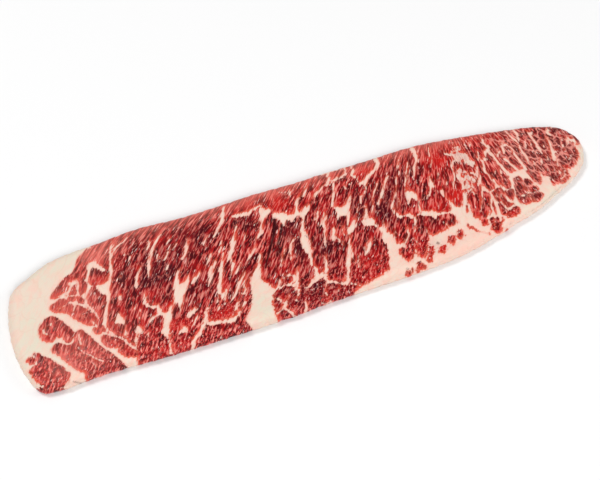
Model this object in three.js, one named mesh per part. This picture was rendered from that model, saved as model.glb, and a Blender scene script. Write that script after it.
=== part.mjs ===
// A raw beef top blade steak: one long thin slice, blunt and capped with fat at one end, tapered at the
// other.
// Millimetres, +Z up. It lies flat on z = 0, its length along X, with the fat cap at -X and the tip at +X.
// The origin is on the underside, in the middle of the slice's box.

import * as THREE from 'three';
import { mergeVertices } from 'three/addons/utils/BufferGeometryUtils.js';

// Driving sizes.
const THICKNESS = 6.0; // the cut face above the underside, away from the rim
const WIDEST_Z = 2.4; // height at which the slumped rim reaches furthest out
const SHOULDER = 4.5; // width over which the cut face rolls down into the rim
const UNDERCUT = 1.0; // how far the underside's edge sits inside the widest line
const COLUMNS = 132; // steps along each long side, from the blunt end to the tip

// Rows of points from the underside's edge to the widest line, and on over the shoulder, as angles.
const UNDER_ROWS = [90, 42];
const SHOULDER_ROWS = [0, 28, 56, 90];
const FACE_ROWS = 12; // rows from the shoulder in to the middle line
const DENSE_STEPS = 2400; // steps in which the outline curve is first walked

// The widest line of the slice, in four stretches that follow each other clockwise as seen from above.
const BLUNT_END = [[-144.1, -33.5], [-148.6, -23.7], [-150.7, -12.7], [-150.9, -0.5], [-149.4, 11.1],
  [-145.5, 22.2]];
const FAR_EDGE = [[-136.5, 28], [-127, 32.8], [-116.7, 35], [-100, 36], [-80, 37.5], [-60, 36.2], [-40, 36.6],
  [-19, 37.1], [4, 36.5], [16, 37.2], [40, 37], [64, 37.3], [88, 35], [112, 31], [123.5, 28.7]];
const TIP = [[135, 25.5], [146, 20], [151.1, 9.1], [146.5, -3.4], [135.8, -11.9]];
const NEAR_EDGE = [[122.7, -17.6], [110, -22.9], [97.4, -26.4], [85.5, -29.6], [62, -34.4], [40, -36.1],
  [5, -36.3], [-15, -36.5], [-27, -37.3], [-60, -36.9], [-87, -36.3], [-116, -34.8], [-135, -35.4]];

// Small nicks that the knife left in the near edge: place along X, half width and depth.
const NICKS = [{ x: 93.5, half: 2.6, depth: 0.6 }, { x: 78.5, half: 2.2, depth: 0.5 },
  { x: -33, half: 2.5, depth: 0.4 }, { x: -127, half: 2.5, depth: 0.4 }];

// Where the layers of muscle meet, the face sinks a little along a chain of places, with a depth and a half
// width. The cleft in the middle is two deep furrows where the muscle has opened along its fibres.
const FURROWS = [
  { depth: 1.5, half: 1.6, path: [[-16.8, 16.5], [-20.8, 8.5], [-25.8, -1.5], [-29.8, -8.5], [-33.4, -14]] },
  { depth: 1.2, half: 1.4, path: [[-16.8, 8.5], [-18.8, 4.5], [-21.8, -1.5], [-22.8, -3.5]] },
];
const WIDE_SEAM = { depth: 0.45, half: 3.4 };
const WIDE_SEAMS = [
  // the wedge of fat in the near half, left of the middle
  [[-31.5, -2], [-36, -10.5], [-38.5, -16], [-38, -22], [-42, -32], [-43, -38]],
  // where the pale block on the near side begins
  [[25, -2], [28.8, -9], [29.5, -14], [29.5, -20], [28.5, -27], [27, -33]],
  // the porous seam and the pale net below it
  [[87, 26.5], [84.5, 20], [80.5, 15], [80.5, 10], [80, 4.5], [77.5, -2], [76, -8], [74, -16.5]],
];
const SEAM = { depth: 0.36, half: 2.3 };
const SEAMS = [
  // the cap's inner border, and the two diagonal seams beside it
  [[-104, 33], [-112, 27.5], [-118, 20.5], [-126, 14.5], [-131, 7], [-135.5, -1.5], [-143, -16.5]],
  [[-130.5, 2], [-125.5, -3], [-121.5, -9], [-117, -13.5], [-114.5, -20], [-111, -27], [-107, -34]],
  [[-138.5, -14.5], [-136.5, -18.5], [-132.8, -24.5], [-130, -29], [-127.5, -33.5]],
  // behind the cap, across the whole slice
  [[-94.2, 32], [-97.3, 24.5], [-99.3, 15.5], [-102.8, 7.5], [-105, -0.5], [-109.8, -14], [-105, -22],
    [-100, -31]],
  // left of the middle
  [[-71, 28.2], [-77.6, 20.3], [-81.4, 14], [-84, 5]],
  [[-70.8, 2.8], [-73, -3], [-74.5, -9], [-77.4, -14.4], [-83, -18], [-85.5, -26], [-86.4, -38]],
  [[-49.5, -27.6], [-55, -31.3], [-60, -30.8], [-66, -28.6], [-72, -33.5], [-77, -39]],
  [[-36, 19], [-40.6, 10.2], [-45.2, 3], [-50, -1], [-53.6, -8.5], [-55.6, -14], [-55.9, -20.4]],
  [[-48, 17.2], [-43.6, 22.4], [-39.8, 28], [-37.4, 33]],
  [[-35.6, 25.9], [-28.4, 24.6], [-20.6, 24.5], [-24.2, 16], [-27.8, 9.3]],
  // the middle
  [[-20.6, 22], [-15.5, 17.5], [-8, 14.5], [-4, 14], [-1, 16], [2, 18.5]],
  [[-4.6, 10.2], [-7.3, 2.5], [-8.8, -5], [-10.4, -15.4], [-9.6, -19.8], [-10.2, -23.6], [-17.6, -27.5]],
  [[-10.2, -23.6], [-7.2, -24], [-7.4, -28.4], [-2.9, -30.4], [0.8, -31.6]],
  [[6.6, 32.4], [1.2, 25.2], [-4, 20.4]],
  [[19.6, 1.2], [13.9, -4.8], [9.2, -15.4], [4.2, -25.4], [0.8, -31.6]],
  [[18.6, 28.6], [17.1, 22.8], [14, 17], [14, 12.5], [15.8, 8], [16.8, 4], [15.4, 0.5]],
  // right of the middle
  [[39.5, -4], [46, -6.5], [52, -8.7], [59, -10.9], [66, -12], [72, -12]],
  [[45.5, 36], [44.1, 29.6], [37.6, 25.5], [33.6, 21.6], [32.6, 17.8]],
  [[65.8, 33.7], [64.4, 25.2], [59.6, 18.4]],
  // the net in the tip
  [[104.5, 29.8], [102, 23], [102, 16], [102.3, 8], [103.4, 0], [101.5, -9], [98.5, -17], [98, -21]],
  [[110, 18], [113.6, 16.4], [113.2, 8.7], [113.4, 0]],
  [[117.1, 27.4], [118.2, 19.6], [118.1, 12], [117.9, 6.4]],
  [[127.2, 23.6], [127.6, 16.6], [126.9, 10]],
  [[134.9, 14.8], [133.5, 9], [132, 4.6], [130.4, -0.4]],
];
const SUNKEN = [
  ...FURROWS,
  ...WIDE_SEAMS.map((path) => ({ ...WIDE_SEAM, path })),
  ...SEAMS.map((path) => ({ ...SEAM, path })),
];

// A wet hollow in the lean beside the cap.
const POCKET = { x: -137.5, y: -27, halfLength: 7, halfWidth: 4, depth: 1.0 };

// Long low swells left by the knife: height, wavelength along X and how far each wave leans.
const SWELLS = [
  { height: 0.22, length: 71, lean: 0.45, phase: 0.6 },
  { height: 0.14, length: 33, lean: -0.3, phase: 2.1 },
];

const clamp01 = (t) => Math.min(1, Math.max(0, t));

function nickDepth(x, y) {
  if (y > 0) {
    return 0;
  }
  return NICKS.reduce((sum, nick) => sum + nick.depth * Math.exp(-(((x - nick.x) / nick.half) ** 2)), 0);
}

// Distance in the plane from a place to a chain of places.
function distanceToPath(x, y, path) {
  let best = Infinity;
  for (let i = 1; i < path.length; i += 1) {
    const [ax, ay] = path[i - 1];
    const [bx, by] = path[i];
    const [dx, dy] = [bx - ax, by - ay];
    const t = clamp01(((x - ax) * dx + (y - ay) * dy) / (dx * dx + dy * dy));
    best = Math.min(best, Math.hypot(x - ax - t * dx, y - ay - t * dy));
  }
  return best;
}

// Height of the cut face above or below its mean level.
function faceRelief(x, y) {
  let z = 0;
  for (const { height, length, lean, phase } of SWELLS) {
    z += height * Math.sin((2 * Math.PI * (x + lean * y)) / length + phase);
  }
  const furrow = Math.max(...SUNKEN.map(({ depth, half, path }) =>
    depth * Math.exp(-((distanceToPath(x, y, path) / half) ** 2))));
  const across = ((x - POCKET.x) / POCKET.halfLength) ** 2 + ((y - POCKET.y) / POCKET.halfWidth) ** 2;
  return z - furrow - POCKET.depth * Math.exp(-across);
}

// The closed outline as evenly spaced points on each long side, so that both sides have the same count.
function outlinePoints() {
  const stretches = [...BLUNT_END, ...FAR_EDGE, ...TIP, ...NEAR_EDGE];
  const corners = stretches.map(([x, y]) => new THREE.Vector3(x, y, 0));
  const curve = new THREE.CatmullRomCurve3(corners, true, 'centripetal');
  const dense = curve.getSpacedPoints(DENSE_STEPS).slice(0, -1);
  const leftmost = dense.reduce((best, p, i) => (p.x < dense[best].x ? i : best), 0);
  const turned = [...dense.slice(leftmost), ...dense.slice(0, leftmost)];
  const rightmost = turned.reduce((best, p, i) => (p.x > turned[best].x ? i : best), 0);
  const pick = (from, to) => Array.from({ length: COLUMNS }, (_, i) =>
    turned[Math.round(from + ((to - from) * i) / COLUMNS) % turned.length]);
  return [...pick(0, rightmost), ...pick(rightmost, turned.length)];
}

// Unit vector pointing out of the slice at each outline point.
function outwardNormals(points) {
  const n = points.length;
  return points.map((_, i) => {
    const along = points[(i + 1) % n].clone().sub(points[(i + n - 1) % n]).normalize();
    return new THREE.Vector3(-along.y, along.x, 0);
  });
}

// The middle line runs inside both ends, so that the rows of the face close round it.
function middleLine(points) {
  const SPINE_START = 92; // beyond this distance from the origin the line advances more slowly
  const SPINE_SLOWING = 0.55;
  return Array.from({ length: COLUMNS + 1 }, (_, i) => {
    const far = points[i];
    const near = points[(2 * COLUMNS - i) % (2 * COLUMNS)];
    const x = (far.x + near.x) / 2;
    const over = Math.max(0, Math.abs(x) - SPINE_START);
    const inset = x - Math.sign(x) * over * (1 - SPINE_SLOWING);
    return new THREE.Vector3(inset, (far.y + near.y) / 2 * 0.5 + 1.5, 0);
  });
}

function sliceGeometry() {
  const outline = outlinePoints();
  const normals = outwardNormals(outline);
  const spine = middleLine(outline);
  const around = outline.length;
  const rings = [];
  const addRing = (place) => rings.push(outline.map((p, i) => place(p, i)));
  const widest = outline.map((p, i) => p.clone().addScaledVector(normals[i], -nickDepth(p.x, p.y)));

  // The rim below its widest line tucks under to the flat underside.
  for (const degrees of UNDER_ROWS) {
    const a = THREE.MathUtils.degToRad(degrees);
    addRing((_, i) => widest[i].clone().addScaledVector(normals[i], -UNDERCUT * (1 - Math.cos(a)))
      .setZ(WIDEST_Z * (1 - Math.sin(a))));
  }
  // Above it the shoulder rolls over into the cut face.
  for (const degrees of SHOULDER_ROWS) {
    const a = THREE.MathUtils.degToRad(degrees);
    addRing((_, i) => {
      const p = widest[i].clone().addScaledVector(normals[i], -SHOULDER * (1 - Math.cos(a)));
      return p.setZ(WIDEST_Z + (THICKNESS - WIDEST_Z + faceRelief(p.x, p.y)) * Math.sin(a));
    });
  }
  // The cut face, row by row in to the middle line. The last row is shared by both long sides.
  const shoulderEnd = rings[rings.length - 1];
  for (let row = 1; row <= FACE_ROWS; row += 1) {
    addRing((_, i) => {
      const middle = spine[i <= COLUMNS ? i : around - i];
      const p = shoulderEnd[i].clone().setZ(0).lerp(middle, row / FACE_ROWS);
      return p.setZ(THICKNESS + faceRelief(p.x, p.y));
    });
  }

  const positions = rings.flat().flatMap((p) => [p.x, p.y, p.z]);
  const triangles = [];
  const at = (ring, i) => ring * around + (i % around);
  for (let ring = 0; ring + 1 < rings.length; ring += 1) {
    for (let i = 0; i < around; i += 1) {
      triangles.push(at(ring, i), at(ring + 1, i), at(ring, i + 1));
      triangles.push(at(ring, i + 1), at(ring + 1, i), at(ring + 1, i + 1));
    }
  }
  // The flat underside, whose triangles face down.
  const floor = rings[0].map((p) => new THREE.Vector2(p.x, p.y));
  for (const [a, b, c] of THREE.ShapeUtils.triangulateShape(floor, [])) {
    triangles.push(a, c, b);
  }

  const geometry = new THREE.BufferGeometry();
  geometry.setAttribute('position', new THREE.Float32BufferAttribute(positions, 3));
  geometry.setIndex(triangles);
  return dropCollapsed(mergeVertices(geometry, 1e-4));
}

// Rows that close on the middle line leave triangles with two equal corners: they go.
function dropCollapsed(geometry) {
  const index = geometry.getIndex().array;
  const kept = [];
  for (let i = 0; i < index.length; i += 3) {
    const [a, b, c] = [index[i], index[i + 1], index[i + 2]];
    if (a !== b && b !== c && c !== a) {
      kept.push(a, b, c);
    }
  }
  geometry.setIndex(kept);
  geometry.computeVertexNormals();
  return geometry;
}

const beef = new THREE.MeshStandardMaterial({ color: 0xa83a33, roughness: 0.38, metalness: 0 });

const steak = new THREE.Mesh(sliceGeometry(), beef);
steak.name = 'steak';

const group = new THREE.Group();
group.add(steak);

export default group;
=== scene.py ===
# %% [markdown]
# # A raw beef top blade steak
#
# One long thin slice of raw beef lies flat with its cut face up. It is blunt at one end, where a thick
# cap of fat closes it, and tapers to a rounded tip at the other. Nearly all that the eye sees is on the
# cut face: dark red lean in short slanting bundles of fibres, and cream fat that runs between them in
# veins, scallops and wide fields. So the lesson spends its effort on three things: the outline, a map of
# where fat and lean lie, and a wet finish.

# %% The fixed frame
import math

import bpy
import numpy as np
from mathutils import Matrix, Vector
from mathutils.kdtree import KDTree


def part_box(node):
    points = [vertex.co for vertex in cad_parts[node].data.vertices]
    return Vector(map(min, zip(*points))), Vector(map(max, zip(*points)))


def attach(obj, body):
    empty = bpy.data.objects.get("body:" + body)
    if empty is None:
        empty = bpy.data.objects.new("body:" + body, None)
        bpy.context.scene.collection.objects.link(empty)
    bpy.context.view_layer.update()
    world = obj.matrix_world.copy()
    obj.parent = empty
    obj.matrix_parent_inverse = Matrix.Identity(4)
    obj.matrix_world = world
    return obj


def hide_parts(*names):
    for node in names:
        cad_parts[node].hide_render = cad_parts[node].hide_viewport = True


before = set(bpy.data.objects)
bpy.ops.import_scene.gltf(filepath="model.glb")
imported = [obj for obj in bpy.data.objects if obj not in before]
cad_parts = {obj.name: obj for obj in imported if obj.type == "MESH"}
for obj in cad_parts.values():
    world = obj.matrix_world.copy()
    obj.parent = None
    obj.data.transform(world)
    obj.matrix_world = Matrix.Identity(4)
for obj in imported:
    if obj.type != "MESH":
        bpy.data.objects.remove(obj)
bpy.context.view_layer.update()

MM = 0.001  # Blender works in metres, and the sizes below are in millimetres
solid_low, solid_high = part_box("steak")
print("the plain slice spans", [round(v / MM, 1) for v in solid_high - solid_low], "mm")

# %% [markdown]
# ## The camera
#
# The camera stands on the near side, a little towards the blunt end, and looks down on the slice at about
# fifty degrees. A lens of 60 mm on a 36 mm sensor gives the slice its slight taper into the distance. The
# camera could be placed by hand, but a compass angle, a height angle and a distance to one aimed-at place
# are easier to adjust one by one.

# %% The camera
LENS = 60.0
SENSOR = 36.0
ELEVATION = math.radians(52.0)
AZIMUTH = math.radians(-21.8)
DISTANCE = 480.29
AIM = np.array([-10.13, -0.17, 6.0])

towards_camera = np.array([
    math.sin(AZIMUTH) * math.cos(ELEVATION),
    -math.cos(AZIMUTH) * math.cos(ELEVATION),
    math.sin(ELEVATION),
])
camera_place = AIM + DISTANCE * towards_camera

bpy.ops.object.select_all(action="DESELECT")
bpy.ops.object.camera_add(location=camera_place * MM)
camera = bpy.context.object
camera.name = "camera"
camera.rotation_mode = "QUATERNION"
camera.rotation_quaternion = Vector(-towards_camera).to_track_quat("-Z", "Y")
camera.data.lens = LENS
camera.data.sensor_width = SENSOR
camera.data.clip_start = 0.02
bpy.context.scene.camera = camera
print("camera at", [round(float(v)) for v in camera_place], "mm")

# %% [markdown]
# ## The outline
#
# The widest line of the slice is a smooth closed curve through a few places, the same as on the plain
# solid. It has four stretches: the blunt end, the far edge, the tip and the near edge. A curve object
# would do, but the mesh below needs to ask for any place along the line and for the way out of the meat
# there, so a few lines of arithmetic walk the curve in small steps and remember the distance covered.

# %% The widest line, walked in small steps
BLUNT_END = [
    (-144.1, -33.5), (-148.6, -23.7), (-150.7, -12.7), (-150.9, -0.5), (-149.4, 11.1), (-145.5, 22.2),
]
FAR_EDGE = [
    (-136.5, 28), (-127, 32.8), (-116.7, 35), (-100, 36), (-80, 37.5), (-60, 36.2), (-40, 36.6),
    (-19, 37.1), (4, 36.5), (16, 37.2), (40, 37), (64, 37.3), (88, 35), (112, 31), (123.5, 28.7),
]
TIP = [(135, 25.5), (146, 20), (151.1, 9.1), (146.5, -3.4), (135.8, -11.9)]
NEAR_EDGE = [
    (122.7, -17.6), (110, -22.9), (97.4, -26.4), (85.5, -29.6), (62, -34.4), (40, -36.1), (5, -36.3),
    (-15, -36.5), (-27, -37.3), (-60, -36.9), (-87, -36.3), (-116, -34.8), (-135, -35.4),
]
STEPS_PER_SPAN = 80


def smooth_closed_curve(corners, steps):
    """Points on a smooth closed curve through the corners, with so many steps from each to the next."""
    here = np.array(corners, float)
    before, after, beyond = np.roll(here, 1, 0), np.roll(here, -1, 0), np.roll(here, -2, 0)
    spans = ((before, here), (here, after), (after, beyond))
    gap_in, gap, gap_out = (np.sqrt(np.linalg.norm(b - a, axis=1))[:, None] for a, b in spans)
    leave = ((here - before) / gap_in - (after - before) / (gap_in + gap) + (after - here) / gap) * gap
    arrive = ((after - here) / gap - (beyond - here) / (gap + gap_out) + (beyond - after) / gap_out) * gap
    t = np.arange(steps)[None, :, None] / steps
    blend = (2 * t**3 - 3 * t**2 + 1, t**3 - 2 * t**2 + t, -2 * t**3 + 3 * t**2, t**3 - t**2)
    parts = (here[:, None], leave[:, None], after[:, None], arrive[:, None])
    return sum(b * p for b, p in zip(blend, parts)).reshape(-1, 2)


rim_corners = BLUNT_END + FAR_EDGE + TIP + NEAR_EDGE
rim_line = smooth_closed_curve(rim_corners, STEPS_PER_SPAN)
rim_loop = np.vstack([rim_line, rim_line[:1]])
rim_reach = np.concatenate([[0], np.cumsum(np.linalg.norm(np.diff(rim_loop, axis=0), axis=1))])
rim_length = rim_reach[-1]
along_rim = np.roll(rim_line, -1, 0) - np.roll(rim_line, 1, 0)
rim_out = np.stack([-along_rim[:, 1], along_rim[:, 0]], 1) / np.linalg.norm(along_rim, axis=1)[:, None]
rim_out = np.vstack([rim_out, rim_out[:1]])
print("once round the slice is", round(rim_length), "mm")

# %% [markdown]
# A knife leaves small nicks and a slightly ragged edge. Both are pushed in along the way out of the meat,
# as a function of the place along the rim, so that every ring of the edge follows the same nick.

# %% A place on the rim, pushed in by a given amount
# Each nick's place along X, half width and depth.
NICKS = [(93.5, 2.6, 0.6), (78.5, 2.2, 0.5), (-33, 2.5, 0.4), (-127, 2.5, 0.4)]
RAGGED = 0.09
RAGGED_WAVES = [(83, 1.0, 0.0), (141, 0.8, 1.1), (222, 0.6, 2.3)]  # waves round the rim, height, phase


def rim_place(distance, inset):
    """Places in the plane at a distance along the rim, moved into the meat by inset."""
    distance = np.asarray(distance, float) % rim_length
    place = np.stack([np.interp(distance, rim_reach, rim_loop[:, k]) for k in (0, 1)], -1)
    out = np.stack([np.interp(distance, rim_reach, rim_out[:, k]) for k in (0, 1)], -1)
    nick = sum(depth * np.exp(-(((place[..., 0] - x) / half) ** 2)) for x, half, depth in NICKS)
    turn = 2 * math.pi * distance / rim_length
    ragged = sum(height * np.sin(waves * turn + phase) for waves, height, phase in RAGGED_WAVES)
    push = np.where(place[..., 1] < 0, nick, 0) + RAGGED * ragged + inset
    return place - out * push[..., None]


print("the near edge at its middle:", rim_place(rim_length * 0.75, 0).round(1))

# %% [markdown]
# ## Where the fat lies
#
# The marbling makes this steak, so it is drawn stroke by stroke: wide fields of fat, islands of lean
# inside them, veins of fat that thin out at both ends, and cuts of lean. Each stroke is a short chain of
# places in millimetres. They are painted in order on the plane of the cut face, as seen from the camera.
# What is kept is not a colour but a distance: how far a place lies inside the fat, or outside it. A
# distance stays smooth between the vertices of a mesh, so the edge drawn from it is much finer than the
# mesh.

# %% Strokes are collected in the order they are painted
FAT, LEAN = 1, -1
strokes = []


def fat_area(*outline):
    strokes.append((FAT, "area", outline))


def lean_area(*outline):
    strokes.append((LEAN, "area", outline))


def fat_line(*path):
    strokes.append((FAT, "line", path))


def lean_line(*path):
    strokes.append((LEAN, "line", path))


print(len(strokes), "strokes so far")

# %% [markdown]
# ### The cap
#
# The cap is the thick layer of fat that lay under the skin. One wide field closes the whole blunt end,
# and islands of lean lie in it: a broken group by the far edge, a bean, and two long tongues that reach
# the near edge. A thin net of fat parts the islands. Islands cut out of a field are quicker to place than
# the field would be round them, so the field comes first.

# %% The cap and the islands inside it
fat_area(
    (-165, -45), (-165, 45), (-103.5, 45), (-103.5, 33), (-110, 25.5), (-108.5, 24.3), (-104.5, 24.5),
    (-103.5, 20.5), (-101, 16.8), (-100.6, 13), (-103.2, 3), (-107.5, -7), (-109.2, -13.5), (-108.5, -17),
    (-105, -21), (-103, -24), (-101.3, -28), (-100.3, -31.5), (-101.3, -34.5), (-101.6, -45),
)
lean_area(
    (-129, 10.8), (-128, 12.3), (-120.5, 19.6), (-117, 20.8), (-115, 22), (-113.3, 24.5), (-112, 27.5),
    (-110, 29.6), (-107.5, 31.3), (-104, 32.3), (-103, 27), (-108, 25), (-109.6, 23), (-110.6, 18.5),
    (-111.8, 16), (-114.6, 15), (-116, 17.3), (-117.8, 16.6), (-119, 17), (-119.8, 16.2), (-119.8, 14.2),
    (-121, 12.6), (-123.5, 12), (-125, 10.6), (-127, 9.9),
)
lean_area(
    (-121.8, 10), (-118, 12.6), (-117, 14), (-116.2, 12.6), (-114.8, 15), (-113, 15.6), (-112.4, 12),
    (-112.8, 9.2), (-115, 7.8), (-119.5, 9.4), (-121.5, 9.3),
)
lean_area((-122, 7.8), (-120, 7.9), (-118.3, 7), (-118.6, 6), (-120, 5.5), (-121.6, 6.4))
lean_area((-117.6, 7.4), (-116.3, 7.2), (-115.4, 5.2), (-115.3, 3.4), (-116.4, 2.2), (-118, 5.4))
lean_area(
    (-110.3, 12.5), (-110, 15), (-107.8, 19.3), (-106.3, 20), (-105, 18), (-103.3, 16.6), (-101.3, 15.8),
    (-101.5, 13.5), (-104, 9.8), (-109.3, 11),
)
lean_area(
    (-113.3, 7.5), (-111.5, 8.5), (-110.5, 7.5), (-109.8, 9.5), (-108.7, 9.5), (-108, 4.5), (-105.5, 3),
    (-105.3, 0.5), (-109.5, -6.5), (-110.5, -10), (-112.2, -12), (-112.6, -9), (-112.3, -4), (-113.8, -2),
    (-114.3, 0.5),
)
lean_area(
    (-130.5, 4.5), (-129.5, 6.5), (-127.5, 6.8), (-126.5, 8), (-124.5, 8.3), (-122.7, 7), (-122.6, 5.2),
    (-124, 4.3), (-122, 4.4), (-121, 3.5), (-120.8, 2.2), (-120, 1.8), (-119, 2.8), (-117.8, 2.3),
    (-117, 0), (-113.2, -5.5), (-112.4, -8), (-112.4, -12), (-113.5, -10.4), (-116, -10.3), (-117.5, -9),
    (-121.5, -4), (-122.5, -1.5), (-124, 0.5), (-129.5, 3),
)
lean_area(
    (-114.8, -13), (-112.5, -12), (-110.8, -12.5), (-110.3, -15), (-111, -16.5), (-112.5, -15.8),
    (-114, -16), (-115, -14.5),
)
lean_area(
    (-112.5, -18.5), (-111.3, -17.5), (-110.8, -16.6), (-109.6, -17.2), (-109, -19), (-107.5, -20.5),
    (-105.5, -21.8), (-104.2, -23.3), (-104.5, -25.5), (-106, -26.8), (-110.5, -25), (-112.3, -23),
    (-112.8, -21),
)
lean_area(
    (-107.5, -27.5), (-105.5, -26.5), (-104, -26.8), (-102, -29), (-100.3, -31.5), (-100.6, -34),
    (-102.5, -33), (-104.5, -32.8), (-106.5, -30.5),
)
lean_area(
    (-134.5, -0.5), (-133, 0.5), (-131.5, 0.6), (-130, -0.5), (-128.5, -2), (-124, -11), (-123.7, -12.6),
    (-124.5, -13.8), (-127.5, -15.8), (-128.2, -14), (-128.6, -11.5), (-129.5, -11.5), (-131.8, -10),
    (-132.5, -11.8), (-134, -12.3), (-136, -11.5), (-137.7, -9), (-138.2, -7), (-137.5, -4.5),
)
fat_line((-134.6, -3.6, 0.5), (-136, -5, 0.9), (-136, -6.8, 0.9), (-135, -8, 0.5))
fat_line((-132.2, -3, 0.6), (-132.6, -5.2, 0.5))
lean_area(
    (-135.5, -17), (-132, -14.2), (-129, -16.8), (-127, -17.8), (-125, -17), (-124, -15.5), (-123.8, -13),
    (-122, -12.2), (-121, -11.2), (-120, -12), (-114, -25), (-112, -27), (-108, -35), (-106.6, -39),
    (-107, -45), (-124, -45), (-124, -35), (-123.5, -33), (-125.3, -32.2), (-126.5, -31), (-128.5, -28),
    (-133, -19.5),
)
fat_line((-121.9, -13, 0.6), (-122.4, -16, 1.1), (-122.2, -18.6, 1.1))
fat_line(
    (-124, -19.5, 0.5), (-122.2, -23.5, 0.8), (-119.5, -26, 0.9), (-117.6, -28.8, 1.1), (-115.3, -30.8, 1),
)
fat_line((-120.6, -29, 0.5), (-119, -31.5, 0.7), (-119.6, -34, 0.4))
lean_area(
    (-142.3, -15.5), (-141, -17.5), (-138, -20.5), (-136, -23), (-134, -26.2), (-131.8, -28.2),
    (-133.6, -28.8), (-131.5, -30.2), (-130.5, -32.5), (-134, -36), (-136, -36.5), (-139, -35.5),
    (-142, -33), (-144, -30.5), (-145.5, -26.5), (-146, -24), (-144.5, -22.5), (-143, -22.5), (-142, -21),
    (-142.5, -18),
)
lean_area((-147, -18.3), (-145, -17.8), (-143.3, -17.9), (-142.8, -19.3), (-144.2, -20.8), (-145.6, -19.2))
lean_area(
    (-145.6, -34), (-144, -33.9), (-136, -37.5), (-133.6, -39.2), (-138, -41), (-143, -40), (-146.5, -36.5),
)
fat_line(
    (-119.8, 16.7, 0.9), (-118.9, 14.4, 1.2), (-119.8, 12, 1.3), (-121.9, 10.3, 1.4), (-125.7, 10.3, 0.9),
)
fat_line((-115.5, 16.5, 1), (-115.4, 14, 1.2), (-116.6, 10.4, 1.1), (-116.8, 7.7, 1.2))
fat_line(
    (-110.9, 15.6, 1), (-111, 11.3, 1.5), (-114.4, 4.9, 1.4), (-114.9, 1.7, 1.4), (-111.9, -5.2, 1.2),
    (-111.4, -8.7, 0.9),
)
fat_line((-121.9, 10.3, 0.9), (-121, 8.8, 0.9), (-118.1, 8.2, 0.9), (-116.8, 7.7, 0.9), (-114.4, 4.9, 1))
fat_line((-122.3, 5.6, 1.1), (-119.5, 4.2, 1.3), (-117, 2, 1.3), (-115.1, 0.9, 1.3))
fat_line((-118.6, -3.4, 0.6), (-115.7, -3.1, 0.9))
fat_line((-114.7, -8.5, 1), (-113.5, -12, 1.1))
fat_line((-119.7, 2.5, 0.6), (-121.1, 0, 0.6))
fat_line((-126.8, 3.5, 0.6), (-124.3, 4.3, 0.6))
print(len(strokes), "strokes so far")

# %% [markdown]
# A seam of fat runs down behind the islands from the far edge to the near one, and two arms branch off
# it.

# %% The seam behind the cap
fat_line(
    (-94.2, 31.8, 1.1), (-96, 28.5, 1.6), (-97.3, 24.5, 1.6), (-98.4, 20, 1.5), (-99.3, 15.5, 1.9),
    (-102.8, 7.5, 2.4), (-105, -0.5, 1.8), (-107, -5, 1.6), (-109.8, -14, 1.3),
)
fat_line((-86.5, 31.8, 0.9), (-90, 29.8, 1.3), (-94, 28.3, 1.3), (-96, 27.2, 1.2))
fat_line(
    (-111.5, -16.6, 1.2), (-108, -19.3, 1.3), (-105, -22, 1.2), (-103.5, -24, 1.2), (-102.5, -26.5, 1.2),
    (-100, -30.6, 1.2),
)
print(len(strokes), "strokes so far")

# %% [markdown]
# ### The long dark stretch
#
# From the cap to the wedge the lean is dark and nearly whole. Its veins follow the fibres, so each is a
# line that is thin at both ends and a few millimetres wide in the middle.

# %% Veins beside the cap, near side
fat_area(
    (-102.5, -8.3), (-101.3, -11), (-100.9, -15.7), (-102.5, -15.2), (-104.5, -13.9), (-106.3, -13.2),
    (-104, -11.3),
)
fat_line((-101.8, -15.5, 1), (-102.3, -20, 1), (-103.4, -24, 1))
fat_line((-96.3, -19, 1.2), (-97.4, -22, 1.4), (-100.3, -29.5, 1))
fat_area((-97, -18.9), (-95.3, -19), (-94, -21.5), (-95, -23.2), (-97, -23))
fat_line((-85, -11.5, 2), (-84.9, -14.5, 2.4))
fat_area(
    (-86, -15.9), (-84, -15.2), (-82, -16.2), (-79.5, -15.6), (-78, -14.3), (-78.6, -16), (-82, -22),
    (-83.6, -26), (-84, -29), (-86, -29), (-87.7, -25.6), (-84.6, -21.5), (-83.8, -19.5), (-84.6, -17.5),
)
fat_line((-85, -28, 2), (-85.5, -32, 1.2), (-86.4, -38, 1.4))
fat_line((-85.6, -15.9, 1.1), (-88, -16.8, 1), (-90.6, -18.8, 0.7))
fat_line((-85.6, -11.9, 1.6), (-88, -10.6, 1.6), (-89.6, -8.6, 2), (-89.2, -5.5, 1.4), (-88.5, -3, 0.9))
fat_line((-80, -15.5, 1.4), (-77.8, -13.3, 1.2), (-76.6, -10, 1.6))
fat_area(
    (-73.2, 0), (-75.2, -5), (-77.2, -12.3), (-76.3, -12.6), (-75.9, -15), (-76.4, -19.6), (-75.3, -18),
    (-72.3, -11.5), (-70.5, -8.8), (-68.3, -6.3), (-65.5, 0), (-67, -0.5), (-69, -3.2), (-71.5, -3.6),
    (-71.8, -1), (-69.5, 3.2), (-67.8, 5.3), (-70.5, 4),
)
fat_area((-69, -18.7), (-68.2, -19.8), (-70, -21.5), (-73.7, -23.8), (-74, -21.5), (-72, -19.8))
fat_area((-76, -26), (-76, -30.8), (-77.5, -30.5), (-79, -29.5), (-81, -29.5), (-79, -27.5))
fat_line((-69.6, -24, 0.9), (-73.2, -27.6, 0.9), (-74.2, -29, 0.6))
fat_line((-94.2, -32.3, 1.1), (-93.4, -32.5, 0.8))
fat_line((-93, -24.3, 1), (-94.2, -26.3, 0.7))
fat_line((-94.8, -8.8, 1), (-96.4, -10.2, 0.8))
fat_line((-92.6, -11, 0.6), (-94.4, -15, 0.6))
print(len(strokes), "strokes so far")

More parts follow.
